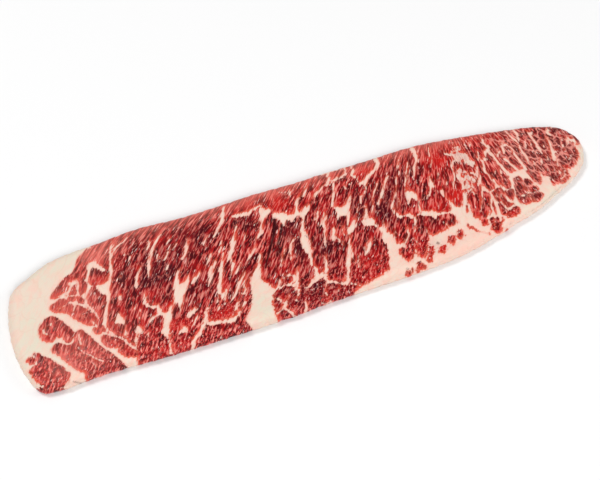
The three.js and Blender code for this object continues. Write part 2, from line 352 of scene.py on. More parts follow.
# %% Veins beside the cap, far side
fat_line((-91.1, 2.3, 1.7), (-89.6, 6, 1.4), (-87.6, 10, 1.2), (-85.6, 12.6, 0.7))
fat_line(
    (-84, 5, 0.9), (-81.4, 14, 2.1), (-79.6, 17.3, 1.7), (-77.6, 20.3, 1.3), (-75.6, 23.4, 1.4),
    (-72.8, 26.8, 1.4), (-71, 28.2, 0.9),
)
fat_line((-80.3, 21, 1.1), (-79, 23, 1.7), (-77.6, 25.6, 1.1))
fat_line((-75, 12.3, 1), (-73.5, 13.3, 1.4), (-72, 14.8, 1.1), (-71, 16.2, 0.6))
fat_line((-69, 17, 1), (-67, 18.3, 1), (-66, 19.6, 0.6))
fat_line((-71, 21, 0.7), (-69, 22.5, 1), (-67, 23.6, 0.7))
fat_line((-74.8, 7, 0.7), (-73.4, 9, 0.7))
fat_line((-77.6, 13, 0.6), (-75.9, 16.5, 0.6))
fat_line((-91, 22.4, 0.6), (-90.3, 24, 0.6))
fat_line((-90, 17, 0.6), (-88.8, 20.5, 0.7))
fat_line((-97, 9, 0.6), (-96.2, 10.6, 0.6))
fat_area((-101.2, -0.6), (-99.5, 0.7), (-98.5, -0.2), (-99.8, -3.2))
print(len(strokes), "strokes so far")

# %% [markdown]
# A wedge of plain yellowish fat stands on the near edge and runs out in a point halfway up. It is an
# area, because its two sides differ, and the fingers and loops round it are lines.

# %% The wedge, and the veins beside it
fat_line((-66, -4.8, 1.8), (-63.8, -3.2, 2.2), (-61, -1.2, 1.6))
fat_line((-59.6, -9.8, 0.6), (-56.3, -2.8, 3), (-54.8, 0, 1.6))
fat_line(
    (-50, -1, 1.8), (-51.6, -3.5, 2.6), (-52.2, -5.8, 1.6), (-55, -11.5, 2.4), (-55.6, -14, 2.4),
    (-55.2, -16.8, 2.6), (-55.9, -20.4, 1), (-55.4, -23, 0.7),
)
fat_line((-57.2, -16.6, 0.9), (-58.6, -19.6, 0.6))
fat_line((-52.4, -15, 1.2), (-54.4, -18.2, 1.2), (-55.4, -20.5, 0.8))
fat_line(
    (-53, -21.6, 0.7), (-48.9, -18.2, 1.4), (-47.2, -15.6, 1.5), (-45.4, -13, 2.4), (-43, -10.8, 1.5),
    (-41.4, -8.8, 0.7),
)
fat_line((-48.6, -8.9, 0.7), (-47, -6.8, 1.4), (-45.6, -3, 1.7), (-44.6, 0, 1.2))
fat_line((-45.2, -7.2, 0.8), (-43.4, -5.8, 1), (-41.3, -2, 0.6))
fat_line(
    (-48.2, -18.4, 1.2), (-45.6, -19.6, 1.7), (-44.4, -17.5, 1.2), (-43.8, -14.5, 1), (-42.9, -12.6, 0.9),
)
fat_line((-52, -26.6, 1.7), (-50.7, -24.4, 1.6), (-49.6, -22, 0.7))
fat_line((-49.8, -27.4, 0.8), (-47.8, -25.7, 1), (-46.5, -24, 0.6))
fat_line((-59.6, -23.6, 0.9), (-58.4, -21.4, 0.6))
fat_line(
    (-66, -29.3, 2.6), (-60, -30.8, 1.9), (-57.5, -31.4, 2.6), (-55, -31.3, 2.7), (-52.5, -30, 1.7),
    (-51, -28.6, 1.2), (-49.4, -27.6, 0.9),
)
fat_line(
    (-64, -21, 1.2), (-65.5, -23.5, 1.4), (-66.8, -27, 2.4), (-69, -30, 2.2), (-72, -33.5, 2),
    (-75.5, -35.8, 2.2), (-77.2, -40, 2.2),
)
fat_area(
    (-32.2, -2.5), (-33.9, -5.4), (-38, -10.7), (-41.9, -14.5), (-41.6, -16.3), (-41.9, -18.6),
    (-43.4, -24.5), (-46.3, -29), (-49.5, -32.8), (-50.1, -34.2), (-49, -38), (-49.2, -45), (-36.6, -45),
    (-36.6, -38), (-35.7, -30.4), (-33.9, -26.3), (-31.4, -23.5), (-33.3, -18.6), (-35.2, -16.3),
    (-35.1, -13.4), (-34.2, -10.4), (-30.6, -1.5), (-30.9, 0),
)
fat_line((-31.6, -22.9, 1.6), (-29.8, -22.6, 1.6), (-28, -20, 1.2), (-27.5, -18.3, 0.6))
fat_line(
    (-28.6, -23, 0.8), (-26.8, -22.3, 0.9), (-25, -22.7, 1.6), (-23.4, -23.2, 1.8), (-22, -25.2, 1.8),
    (-22.2, -28, 1.6), (-23, -29.9, 0.9),
)
fat_line(
    (-25.6, -18.4, 0.7), (-24, -17.5, 1.4), (-22, -17.6, 1.5), (-20.5, -19.5, 1.6), (-21.4, -21.8, 1.6),
    (-23.5, -22.6, 1.5),
)
fat_line((-32.9, -27.7, 0.8), (-31.6, -29, 1.5), (-31.2, -31, 1.1), (-29.5, -31.8, 1), (-26.4, -28.3, 0.6))
fat_line((-35.8, -35.8, 0.9), (-33, -34.8, 1.3), (-31, -33.3, 1.7), (-29.8, -32, 1.2))
fat_line((-31.2, -34.2, 1.5), (-30, -36.3, 1.3), (-29.2, -38, 1.5), (-28.7, -40, 1.8))
fat_line((-24.8, -32, 1.5), (-24.3, -32.8, 1))
fat_line((-21.3, -34.5, 1.1), (-21.8, -37.5, 1.4), (-23.2, -40, 1.8))
fat_line((-63.6, -38.4, 1.2), (-62.2, -36.9, 0.7))
fat_line((-24.3, -11.8, 0.7), (-22.8, -8.4, 1.2), (-21.5, -5.6, 1.2))
print(len(strokes), "strokes so far")

# %% The far side above the wedge
fat_line((-66, 9.8, 1.5), (-64.2, 12, 2), (-63, 14.2, 2.2), (-61.6, 17, 1.6), (-60.3, 20.4, 0.7))
fat_line((-54.3, 13.6, 0.5), (-53.4, 15.6, 1.2), (-50.8, 18.5, 0.5))
fat_line((-56.5, 1.9, 0.7), (-54.9, 4.1, 1.6), (-53.5, 6.4, 1.4), (-52.7, 8, 0.5))
fat_line((-54, -0.6, 1), (-52.6, 1.8, 1.2), (-51.6, 3.6, 0.6))
fat_line((-50.6, -1, 1.3), (-49, 2.2, 1.6), (-47.8, 4.3, 1.2), (-46.9, 6, 0.5))
fat_line((-48.9, 5.6, 0.5), (-48.2, 8, 1), (-47.2, 9.4, 1.2), (-45.5, 13.2, 0.4))
fat_line(
    (-46.8, 0.6, 0.9), (-43.6, 5, 2.8), (-42, 7.5, 2.5), (-40.6, 10.2, 2.9), (-39.6, 12.8, 1.8),
    (-38, 15, 1.2), (-35.6, 19.2, 0.6),
)
fat_line(
    (-48, 17.2, 1), (-46.6, 18, 1.8), (-45, 20, 1.8), (-43.6, 22.4, 1.6), (-40.8, 26, 2.3),
    (-37.4, 33, 0.9),
)
fat_line(
    (-35.6, 25.9, 1), (-33.6, 25.3, 2.3), (-28.4, 24.6, 3.2), (-26.4, 25, 2.4), (-24.8, 26, 1.6),
    (-20.6, 27, 1.6),
)
fat_line(
    (-20.2, 24.5, 2.6), (-20.8, 21.6, 3.2), (-24.2, 16, 1.8), (-25.2, 13, 1.6), (-26, 10.6, 1.9),
    (-27.8, 9.3, 1.2), (-30.4, 7.8, 0.7),
)
fat_line((-28.2, 16.6, 0.5), (-26, 17.3, 0.8))
fat_line((-36.7, 8.3, 0.5), (-34.8, 10.5, 0.8), (-33.1, 12.7, 0.4))
fat_line((-30.8, 5, 0.6), (-31.9, 3.2, 1), (-35.8, -0.4, 1.5), (-37.6, -2.2, 0.9))
fat_line((-24, 6.8, 0.5), (-22.4, 10, 0.5))
print(len(strokes), "strokes so far")

# %% [markdown]
# ### The middle
#
# Here the fat falls like a curtain in scallops: arcs that hang from the far edge, with a fringe along
# their lower side. Areas give the thick parts of the scallops and lines the threads between them.

# %% The middle, near side
fat_line((-17.3, -15.2, 0.6), (-18.4, -18, 1.5), (-20.9, -22.8, 2.2), (-21.8, -26, 2.2), (-22.2, -29, 1.4))
fat_line(
    (-11.4, 1.6, 0.7), (-13.4, 0.6, 1), (-15, -1, 1.1), (-16.4, -3.5, 1.6), (-17.4, -6, 1.5),
    (-19.2, -11.8, 0.5),
)
fat_line((-18.8, -2.8, 0.6), (-20.5, -5.7, 1))
fat_line(
    (-4.6, 10.2, 1.3), (-5.8, 7.8, 1.5), (-7, 4.9, 2.2), (-7.3, 2.5, 3), (-7.9, -0.1, 4.6), (-9, -5, 4.4),
    (-8.6, -7.8, 3.4), (-9.1, -10.7, 1.9), (-9.9, -13.4, 1.6), (-10.4, -15.4, 1.6), (-9.9, -17.5, 1.6),
    (-9.6, -19.8, 2), (-10.2, -21.8, 2.8), (-10.2, -23.6, 3.4), (-12, -24.4, 2.6), (-13.8, -25.7, 1.9),
    (-16.1, -26.9, 1.4), (-17.6, -27.5, 1.4), (-18.5, -26.6, 0.7),
)
fat_line(
    (-9.6, -23.4, 3), (-7.3, -23.6, 3.2), (-7.2, -26, 1.6), (-7.4, -28.4, 1.3), (-4.6, -28.9, 1.6),
    (-2.9, -30.4, 1.4), (-0.8, -31.6, 1.8), (0.8, -31.3, 2.8),
)
fat_line((-8.2, -28.4, 0.8), (-9.1, -30.4, 0.8))
fat_line((-6.4, -22.8, 2.4), (-4.9, -20.4, 1.6), (-3.8, -17.8, 1.5), (-2.6, -12.8, 0.6))
fat_line(
    (7.4, 10.8, 1), (5.4, 7.2, 2.4), (3.9, 4.9, 2.6), (3.9, 2.5, 1.6), (1.2, -4.2, 1.2), (-0.1, -7.2, 0.7),
)
fat_line((7.4, 0, 1.8), (6.2, -2.8, 2.4), (5.6, -4.8, 2.2), (4.8, -6.6, 1))
fat_line((6.4, -4.6, 1.4), (7.1, -6.9, 0.9), (7.7, -11.9, 0.8))
fat_line((12, 0, 0.7), (11.2, -1.9, 0.9), (10.6, -4.2, 1.4), (11.2, -6.3, 0.8))
fat_line(
    (19.6, 1.2, 1), (17.8, -0.8, 2.8), (15.6, -2.8, 3.2), (13.9, -4.8, 2.6), (12.7, -6.9, 1.3),
    (11.8, -9.5, 1), (9.2, -15.4, 2.4), (8.6, -17.5, 3), (7.1, -19.5, 3), (5.6, -22.2, 2.4),
    (4.2, -25.4, 1.8), (2.7, -28.4, 1.6), (1.5, -30.7, 2.4), (0.4, -31.9, 2.4),
)
fat_line((21.5, -12.2, 0.7), (20.4, -14.5, 1.6), (18.6, -16.9, 2), (16.8, -18.6, 2.4), (15.9, -19.8, 1.4))
fat_line((19.2, -13.6, 0.6), (17.6, -15.8, 1.4), (16.6, -18, 1.6))
fat_line((12.1, -19.2, 0.7), (9.5, -26, 0.7))
fat_line((8.9, -22.2, 0.7), (8.7, -23.4, 0.6))
fat_area(
    (0.9, -39.5), (1.6, -38.2), (3, -37.4), (5.4, -36.6), (18.6, -33.6), (22.1, -32.2), (24, -30.1),
    (27, -29), (30, -46), (0.9, -46),
)
fat_line((-11.1, -32.5, 0.9), (-10.7, -33.6, 1.3), (-10.5, -34.8, 0.8))
fat_line((-4.2, -33.8, 0.7), (-5, -35, 0.7))
fat_line((-14.4, -37.8, 1), (-12.8, -39.4, 1), (-10.2, -38.7, 1))
fat_line((2.4, -32.8, 0.9), (6.2, -35.6, 0.7))
print(len(strokes), "strokes so far")

# %% The middle, far side
fat_area(
    (-17.2, 20.6), (-14.6, 19.4), (-12.6, 19.4), (-11, 18.8), (-10.2, 17), (-8.4, 15.9), (-6.6, 16.6),
    (-4.2, 20.6), (-3.4, 21.2), (-4.8, 16.6), (-3, 16.4), (-1.6, 17.6), (0.6, 18), (2.4, 19.6), (2, 17),
    (0.9, 15), (-2.4, 12.6), (-3.4, 11), (-4.4, 10.8), (-4.6, 13.6), (-5.6, 14.6), (-7.4, 12.9),
    (-8.8, 12.6), (-10, 11.4), (-10.6, 13.2), (-12.4, 13.6), (-14.1, 9.6), (-14.7, 11.6), (-15, 14.8),
    (-16, 15.9), (-17.4, 16.4),
)
fat_area(
    (-23.4, 19), (-22.4, 24.6), (-21, 27), (-20.4, 24.6), (-18.8, 23.6), (-17.2, 23.9), (-16.2, 22.6),
    (-16.6, 21.2), (-18.4, 20.4), (-20.2, 19), (-21.8, 18.4),
)
fat_line(
    (6.6, 32.4, 0.9), (5.2, 29.8, 1.1), (3.4, 27.2, 1.2), (1.2, 25.2, 1.4), (-1.4, 24.3, 1.8),
    (-3, 22.6, 1.6), (-4.6, 18.6, 1.2),
)
fat_area((-16.2, 39.5), (-16.8, 37.4), (-15.6, 34.8), (-13.6, 34.6), (-13.4, 36.6), (-11.4, 39.5))
fat_area((14.6, 39.8), (14, 34.4), (17, 34.2), (24, 34.6), (24.6, 40))
fat_line(
    (19.6, 34, 1), (18.3, 32.8, 1.5), (17.4, 29.9, 2.1), (16.2, 27.5, 2), (13.3, 27.2, 1),
    (11.2, 25.8, 0.9), (8.9, 24.3, 1.4), (6.8, 22.5, 1.7), (4.8, 21, 1.1),
)
fat_line(
    (18.6, 28.6, 1.4), (18.3, 26, 1.2), (17.1, 22.8, 1.2), (14.2, 17.5, 1.5), (13, 14.6, 1.4),
    (12.6, 13, 1.4),
)
fat_line((18.4, 29.2, 1.8), (21, 29, 1.6), (24.5, 29.4, 1.8))
fat_area(
    (12.3, 13.2), (14, 12.2), (16.2, 11.8), (18.6, 12), (20.8, 14), (24, 17.8), (24, 16.4), (21, 11.5),
    (16, 0), (14.4, 0), (16.2, 4.5), (16, 5.6), (14.5, 6), (13.2, 5.9), (10.2, 3.6), (13, 9.4), (13, 11),
)
fat_line((4.6, 12.8, 0.9), (3.6, 10.5, 1.6), (1.8, 8.7, 1.4), (0.6, 6.9, 0.8))
fat_line((-3.2, 31.4, 0.9), (-4.1, 29, 1.6), (-4.4, 27, 0.7))
fat_line((-8.2, 31.4, 1), (-5.6, 30.8, 1.2))
fat_line((24, 14, 0.9), (22.8, 12.6, 0.5))
fat_line((23.6, 7.8, 1), (22.4, 5.2, 1.2))
fat_line((23, 23.4, 1.1), (23, 21.8, 1.1))
fat_line((-16.4, 10.2, 0.4), (-20.2, 4.3, 0.5))
print(len(strokes), "strokes so far")

# %% [markdown]
# ### The cream field and the long veins
#
# Towards the tip the near edge turns to a wide field of cream fat with red islands in it. The field is
# laid down first and the islands are cut out of it, as in the cap.

# %% The cream field at the near edge
fat_area(
    (21.8, -0.2), (23.6, 0.6), (25.4, 0.2), (28.4, -0.6), (33, -3), (38.4, -1.6), (39.2, 0.6), (40.2, -1),
    (43, -3), (46, -3), (52, -4), (52.9, 0.8), (53.3, -2), (56, -4), (62, -6), (65.7, -3.6), (66.8, 2),
    (68.2, 2), (74, -90), (22, -90), (22, -32.2), (23.5, -29.8), (26.4, -21), (27.6, -18.6), (26.1, -14.5),
    (27.3, -12.8), (28.2, -10.4), (27.3, -6), (25, -4.8), (21.8, -4),
)
lean_area((28.9, 2.5), (28.2, -3.4), (28.5, -6.3), (29.8, -7.3), (31.1, -6.3), (32.6, -1.5), (32.6, 2.5))
lean_area(
    (32.4, 2.5), (32.1, -8), (31.4, -11), (32.6, -12.6), (34, -12.6), (32.5, -16.5), (32.8, -18.9),
    (33.9, -19.8), (35.2, -19.8), (38.5, -17.4), (39.2, -15.7), (38.8, -13.9), (42.2, -9.9), (42.4, -11.4),
    (41.6, -13.6), (41.2, -16.5), (42, -18.1), (44, -14.6), (44.2, -12), (45.2, -9.5), (44.9, -7.5),
    (43.8, -6.8), (42, -6.4), (39.6, -6.5), (38.6, -5.2), (38.2, -2.8), (38.6, 2.5),
)
fat_line((34.6, -11.9, 0.8), (34.4, -13, 0.9))
lean_area(
    (45.5, -12.6), (44.4, -13.8), (43.4, -16.2), (38.4, -19.3), (36.7, -21), (35.4, -23.4), (34.6, -23.9),
    (33.4, -23.1), (32.2, -23.1), (31.4, -24.5), (31.7, -26.9), (32.3, -29.2), (33.2, -31), (34.2, -30.6),
    (37.2, -27.5), (37.9, -25.3), (39.4, -24.4), (39.9, -25.7), (39.2, -30.4), (40.6, -31.5), (42, -30.4),
    (42.3, -28.6), (44.9, -26), (45.3, -24.4), (47.2, -22.6), (48.5, -15.1), (47.9, -12.8), (47, -11.7),
)
fat_line((44.6, -14.4, 0.7), (43.4, -15.8, 1.5), (42.9, -16.8, 0.8))
fat_line((41, -19.6, 0.6), (41.4, -22.4, 1.1))
lean_area(
    (48.5, -7.8), (47.3, -8.4), (48.5, -13.4), (49.4, -14.5), (49.9, -16.3), (49.6, -18.6), (50.2, -21.2),
    (52, -20.4), (53.8, -21), (55.8, -19.8), (57.3, -20.4), (59.1, -19.8), (59.2, -18.1), (58.2, -16),
    (56.4, -15.4), (55.2, -11.3), (54.1, -10.4),
)
lean_area(
    (56.7, -13.2), (56.4, -14.5), (57.9, -13.9), (59.4, -15.1), (59.9, -16.9), (61.1, -19.2), (62.6, -19.5),
    (63.8, -18.4), (64.9, -15.7), (65.2, -13.9), (63.8, -12.5), (61.1, -11.9), (58.2, -11.9),
)
lean_line((65.8, -16.4, 0.5), (65.3, -17.2, 0.7))
lean_line((66.6, -17.6, 0.5), (66, -18.8, 0.6))
lean_area(
    (40.3, 3), (40.8, -3.6), (42.6, -4.2), (45.5, -3.9), (46.7, -3.4), (46.7, -5.4), (47.6, -7.2),
    (48.8, -6.3), (49.3, -5), (50.2, -6.6), (52.2, -1), (52.4, 3),
)
lean_area(
    (53.3, 3), (52.9, -2.8), (53.2, -5.1), (54.6, -7.2), (58.2, -6.6), (59.9, -9.8), (61.7, -9.2),
    (63.8, -10.4), (66.1, -9.5), (66.4, -6.9), (65.5, -2.2), (65.4, 3),
)
lean_area(
    (56.4, -26.3), (55.8, -28.1), (57, -29.8), (58.5, -28.4), (59.6, -26), (59.1, -25.1), (57.6, -25.4),
)
lean_area(
    (61.4, -26), (61.1, -27.5), (62, -27.8), (63.8, -26.3), (68, -25.2), (68, -24.2), (65.5, -24.2),
    (64.6, -23.6), (63.2, -23.6),
)
lean_area((50.2, -29.8), (48.8, -31.6), (49.9, -32.3), (52, -31.4), (53, -29.7), (51.7, -28.9))
lean_area(
    (46.4, -27.1), (43.8, -31.3), (42.3, -32.8), (41.4, -34.5), (42.6, -35), (43.9, -33.8), (44.1, -32.2),
    (47.2, -27.6),
)
lean_area((28.4, -37.5), (29, -39.2), (30.5, -38.1), (31, -37), (29.5, -36.7))
lean_line((32.4, -35.8, 0.6), (31.9, -37.6, 1))
lean_line((33.3, -36.8, 0.8), (34.2, -38.2, 1.5))
lean_area(
    (35, -36.6), (37.3, -37.7), (38.8, -37.2), (39.1, -36), (38, -35.9), (37.8, -33.8), (37, -33.2),
    (35.6, -36),
)
print(len(strokes), "strokes so far")

# %% The long slanting veins
fat_area((22, 39.5), (24, 38.8), (25.4, 36.4), (27, 35), (25.6, 34.2), (22, 34.3))
fat_line((22, 29.6, 1.6), (24.6, 30, 1.8), (27, 31, 1.4), (28, 33, 1.2), (28.2, 34.6, 0.8))
fat_line((31.6, 34.4, 1.1), (31.4, 31.5, 1.3), (29.4, 28.8, 1.9), (31, 26.4, 1.3), (30.8, 23.4, 0.9))
fat_line((30, 38.6, 0.8), (32.3, 35.8, 0.7))
fat_line(
    (45.5, 36, 2.6), (45.4, 33.4, 2.8), (45.1, 31.5, 2.4), (44.1, 29.6, 2.4), (42.3, 27.5, 2.2),
    (37.6, 25.5, 2.4), (35.5, 23.7, 2.6), (33.6, 21.6, 3.2), (33.1, 19.6, 1.6), (32.6, 17.8, 0.8),
)
fat_line((33, 22.2, 2.4), (31.4, 22, 1.6), (30.4, 20.6, 0.7))
fat_line((46.4, 21.6, 1.4), (44.9, 20.2, 1.8), (36.1, 8.7, 1.2), (34.6, 6.6, 1.6), (33.5, 4.9, 0.9))
fat_line(
    (39.4, 18.7, 1), (37.9, 16.6, 1), (36.1, 14.9, 1.5), (32.9, 10.8, 0.7), (31.7, 8.7, 0.6),
    (31.1, 6.4, 0.8), (29, 2.5, 0.9),
)
fat_line((31.4, 16.6, 0.5), (29.6, 14.6, 0.7), (27.9, 13.6, 1.2), (26.1, 10.4, 0.9))
fat_line((27.6, 7.8, 0.8), (25.8, 2.8, 1.8), (24.8, 0.4, 1.9))
fat_line((25.8, 24.3, 0.8), (26.4, 23, 0.9))
fat_line(
    (50.2, 19, 0.8), (48.5, 16.6, 1.2), (47.3, 13.7, 0.7), (44.6, 9, 1), (43.2, 6.9, 0.9), (41.4, 4.9, 1),
    (39.9, 2.8, 1.4), (38.9, 1.1, 1.1), (38.7, -0.6, 1),
)
fat_line((44.9, 5.8, 0.6), (43.8, 2.2, 0.9), (42.6, 0.8, 0.8))
fat_line((56.1, 29.3, 0.9), (53.8, 25.5, 1.6), (52.6, 24.3, 0.9))
fat_line(
    (59.4, 25.8, 0.9), (57.9, 23.1, 1.6), (54.9, 17.5, 1.2), (52.3, 12.8, 1.3), (51.4, 10.8, 1),
    (49.1, 6.1, 1.3),
)
fat_area(
    (50.5, 9.4), (53.6, 7.4), (54.6, 6.4), (54.2, 0.6), (53.2, -1), (52, 3), (51, 3.7), (50, 3),
    (48.4, -0.6), (47.9, 0.4), (48.6, 3), (48.3, 6),
)
fat_line(
    (65.8, 33.7, 3), (65.8, 30.8, 2.4), (64.9, 27.8, 2.4), (64.4, 25.2, 2), (62.9, 23.1, 1.5),
    (61.1, 21.1, 1.5), (57.6, 14.6, 0.6),
)
fat_line((63.4, 39, 1.6), (65.2, 37.8, 1.8), (65.6, 35.6, 1.6), (65.8, 33.7, 2.8))
fat_line((65.8, 13.7, 0.8), (64.1, 8.2, 2.4), (62.6, 6.2, 1), (61.7, 4, 0.9), (60.5, 1.9, 0.8))
fat_line((64, 8, 2), (64.8, 6, 1.2))
fat_line((60.9, 11.4, 0.5), (60.3, 9.8, 0.7))
fat_line((59.6, 2.6, 1), (58.2, 0.5, 0.6))
fat_line((66.9, 2.4, 2), (67, -0.6, 2.4))
fat_line((44, 38.2, 1.2), (46.4, 36.4, 0.9))
fat_line((53.2, 21.9, 0.5), (52, 19.9, 0.5))
print(len(strokes), "strokes so far")

# %% [markdown]
# ### The tip
#
# At the tip the lean is broken into many small islands by a net of fat. The net is wide at the near edge
# and thin inside, so most of it is what a wide field leaves between its islands, and the rest is lines.

# %% The net near the tip
fat_area(
    (65.9, -9.6), (67.4, -7), (68.6, -9), (71, -10.6), (73, -8.6), (76.8, 0.3), (160, 0.3), (160, -90),
    (60, -90),
)
lean_area(
    (67.4, 3), (68.6, -6), (70, -8.8), (71.2, -10), (72.5, -8.9), (75.1, -3.6), (76.2, -0.6), (76.6, 3),
)
lean_line((77.4, -1.6, 0.7), (77, -2.6, 0.8))
lean_area(
    (76.9, -8.6), (78.4, -4.6), (79.5, -4.1), (80.1, -6.4), (81.4, -7.6), (82, -9.4), (80.1, -14),
    (77.8, -17.8), (76.3, -19.5), (74.5, -19.2), (76.6, -11.6),
)
lean_line((74.2, -11, 0.6), (73.8, -12.2, 0.9), (72.8, -14.4, 0.7))
lean_area(
    (83, 3), (82.2, -3.4), (82.5, -5.2), (81.8, -9.6), (82.6, -10.4), (83.3, -9.2), (84, -6.6), (86.3, -1),
    (86.8, 3),
)
lean_area(
    (86.3, -5.8), (87.5, -6.9), (87.9, -9.6), (86.6, -11.6), (85.4, -12.8), (84.2, -15), (84.8, -15.8),
    (83.9, -18.1), (80.7, -20.1), (79.5, -22.8), (78.1, -24.5), (76.4, -25.2), (76.6, -22.2), (77.8, -17.8),
    (79.8, -16), (81.3, -13.6), (83.4, -11.3),
)
lean_line((87.4, -12.4, 0.8), (86.5, -15.5, 1.4), (85.6, -18.6, 1.6), (85, -20.6, 1.3))
lean_area(
    (81.5, -22.4), (82.8, -22.6), (82.6, -24.4), (84, -24.2), (85, -22.8), (84.4, -25.8), (82.5, -31),
    (80.9, -31.7), (79.5, -30.6), (78.8, -28.4), (79.2, -26.6),
)
fat_line((82.4, -25, 0.5), (80.8, -28, 0.8))
lean_line((87, -23.8, 0.6), (86, -25.6, 1.5), (84.4, -27.4, 1.2))
lean_area(
    (88.6, 3), (88.2, -3), (88.5, -4.8), (89.4, -6), (91.2, -5.9), (92.5, -4.9), (93.7, -3.2), (93.6, -1.6),
    (92.6, -0.6), (92.8, 3),
)
lean_area(
    (96.4, 3), (95.9, -2.8), (95.4, -4.2), (96.6, -6.3), (97.5, -5.4), (98.6, -2.8), (99.2, -0.6),
    (99.2, 3),
)
lean_area(
    (100.2, 3), (102.8, 2), (102.6, -1.2), (101.6, -3), (101.3, -5.1), (100.1, -8), (98.9, -8.3),
    (97.7, -7.4), (99.9, -3),
)
lean_area(
    (91.9, -7.2), (93.9, -6.6), (95.4, -7.8), (95.7, -10.4), (93.6, -14.8), (93.5, -16.2), (95.1, -17.2),
    (96, -18.4), (94.8, -19.4), (92.5, -19.2), (91.9, -18), (92.4, -13.4), (91, -14), (89.6, -13.4),
    (89.6, -11.3), (88.9, -9.4), (90.1, -8),
)
fat_line((94.2, -9.6, 0.5), (92.4, -12.4, 0.6))
fat_line((92, -9, 0.4), (91, -11.6, 0.5))
lean_area(
    (95.8, -11), (96.5, -8.9), (97.2, -10.7), (99.7, -9.4), (100.7, -10.6), (97.5, -16), (96.6, -15.6),
    (96.6, -13.9),
)
lean_area(
    (88.5, -16.4), (90, -15.4), (90.7, -17.5), (90.6, -19.4), (91.6, -21.2), (90.7, -23), (88.6, -23.2),
    (88, -18),
)
lean_area(
    (93.4, -20.6), (95.4, -20.2), (97.3, -21.6), (97.3, -23.2), (95.4, -24.6), (90.2, -25.4), (90, -24.6),
    (91.6, -23.4), (92.2, -21.6),
)
lean_area(
    (104.2, -5.8), (104.9, -4), (107, -3.2), (108, -4.8), (107.5, -7.2), (105.6, -11), (106.4, -13.2),
    (105.4, -14.8), (103.9, -14.2), (102.6, -14.2), (101.3, -15.1), (100.1, -15.4),
)
lean_area(
    (108.4, -7.2), (110, -6.4), (111.6, -8), (111.8, -9.6), (110.8, -11), (112.4, -12.6), (112.4, -14.2),
    (110.6, -15), (107.8, -13.6), (106.9, -12.2), (107.5, -9.5),
)
lean_area(
    (99.9, -17.4), (101.3, -15.9), (103.9, -16.8), (105.7, -15.6), (107.8, -16.6), (110.1, -16.4),
    (111.8, -16.6), (113.4, -17.8), (111.8, -19.5), (110, -20.8), (108.1, -21.3), (105.7, -20.2),
    (102.8, -20.6), (100.4, -19.8),
)
fat_line((107, -15.6, 0.6), (106.2, -17.8, 0.7), (106.6, -20, 0.8))
lean_line(
    (69.2, -21.3, 0.8), (68.9, -23.1, 1.5), (70.7, -24.8, 1.3), (71.9, -26.9, 0.7), (73.6, -28.6, 0.7),
    (76, -30.4, 0.4),
)
lean_line((85.4, -31.2, 0.5), (84.4, -31.9, 0.7))
lean_area(
    (113.8, 3), (113.4, -7), (114.4, -10.1), (115.4, -11.7), (116.5, -10.4), (117.1, -7.8), (118.5, -5.1),
    (119.2, -2.8), (119.2, 3),
)
lean_area(
    (120.4, 3), (119.7, -8), (121.6, -8), (122.4, -9.8), (121.8, -12.8), (121, -14.9), (122.8, -14.6),
    (124.2, -13.8), (125.3, -15), (127.6, -15), (131.6, -12.6), (131.9, -10.7), (131.6, -6.9), (132, -3.9),
    (131.6, 3),
)
fat_line((127, -5.4, 0.5), (125.8, -7.6, 0.7))
fat_line((129.4, -5.6, 0.4), (128, -9.4, 0.8))
fat_line((131.6, -0.6, 1.2), (130.6, -2.6, 1.4), (130, -4.4, 0.7))
fat_line((131.4, -8.6, 0.6), (129.6, -11.6, 1), (127.6, -12.4, 1.3))
fat_line((124, -3.4, 0.5), (122.4, -7, 0.6))
lean_area((132.6, 3), (132.6, -6.3), (133.2, -7.9), (137.6, -7.4), (141.8, -3.4), (143.6, -0.8), (144, 3))
fat_line((138.4, -1.4, 1.2), (137.8, -2.8, 1.2))
fat_line((87.9, 0.3, 1), (85.9, -5.1, 1), (83.8, -9.3, 1), (79.3, -16.3, 0.9))
fat_line(
    (87.7, -3.1, 1.2), (89.2, -7.6, 1.4), (88.8, -12.9, 1.3), (87.6, -17.3, 1.2), (87.2, -20.9, 1.2),
    (85.5, -25.1, 1),
)
fat_line((88, -11, 1.1), (85.7, -14.7, 1.2), (84.6, -18.4, 1.3), (84.4, -22.1, 1.2))
fat_line((82.4, -19, 1.3), (80.3, -21.9, 1.5), (78.8, -25.8, 1.4))
fat_line((90.9, -14.8, 1.1), (91.6, -18.9, 1.3), (93.1, -20.3, 1.3), (97.4, -18.6, 1.1))
fat_line((94.6, -11.3, 1.3), (95, -14.6, 1.6), (95.4, -16.6, 1.4), (97.2, -17.7, 1.1))
fat_line((89.2, -7.6, 1), (94, -5.6, 1.3), (96.1, -5.3, 1.2), (96.1, -7.6, 1))
print(len(strokes), "strokes so far")

# %% [markdown]
# Between the long stretch and the tip a seam of fat is porous and torn, like a sponge.

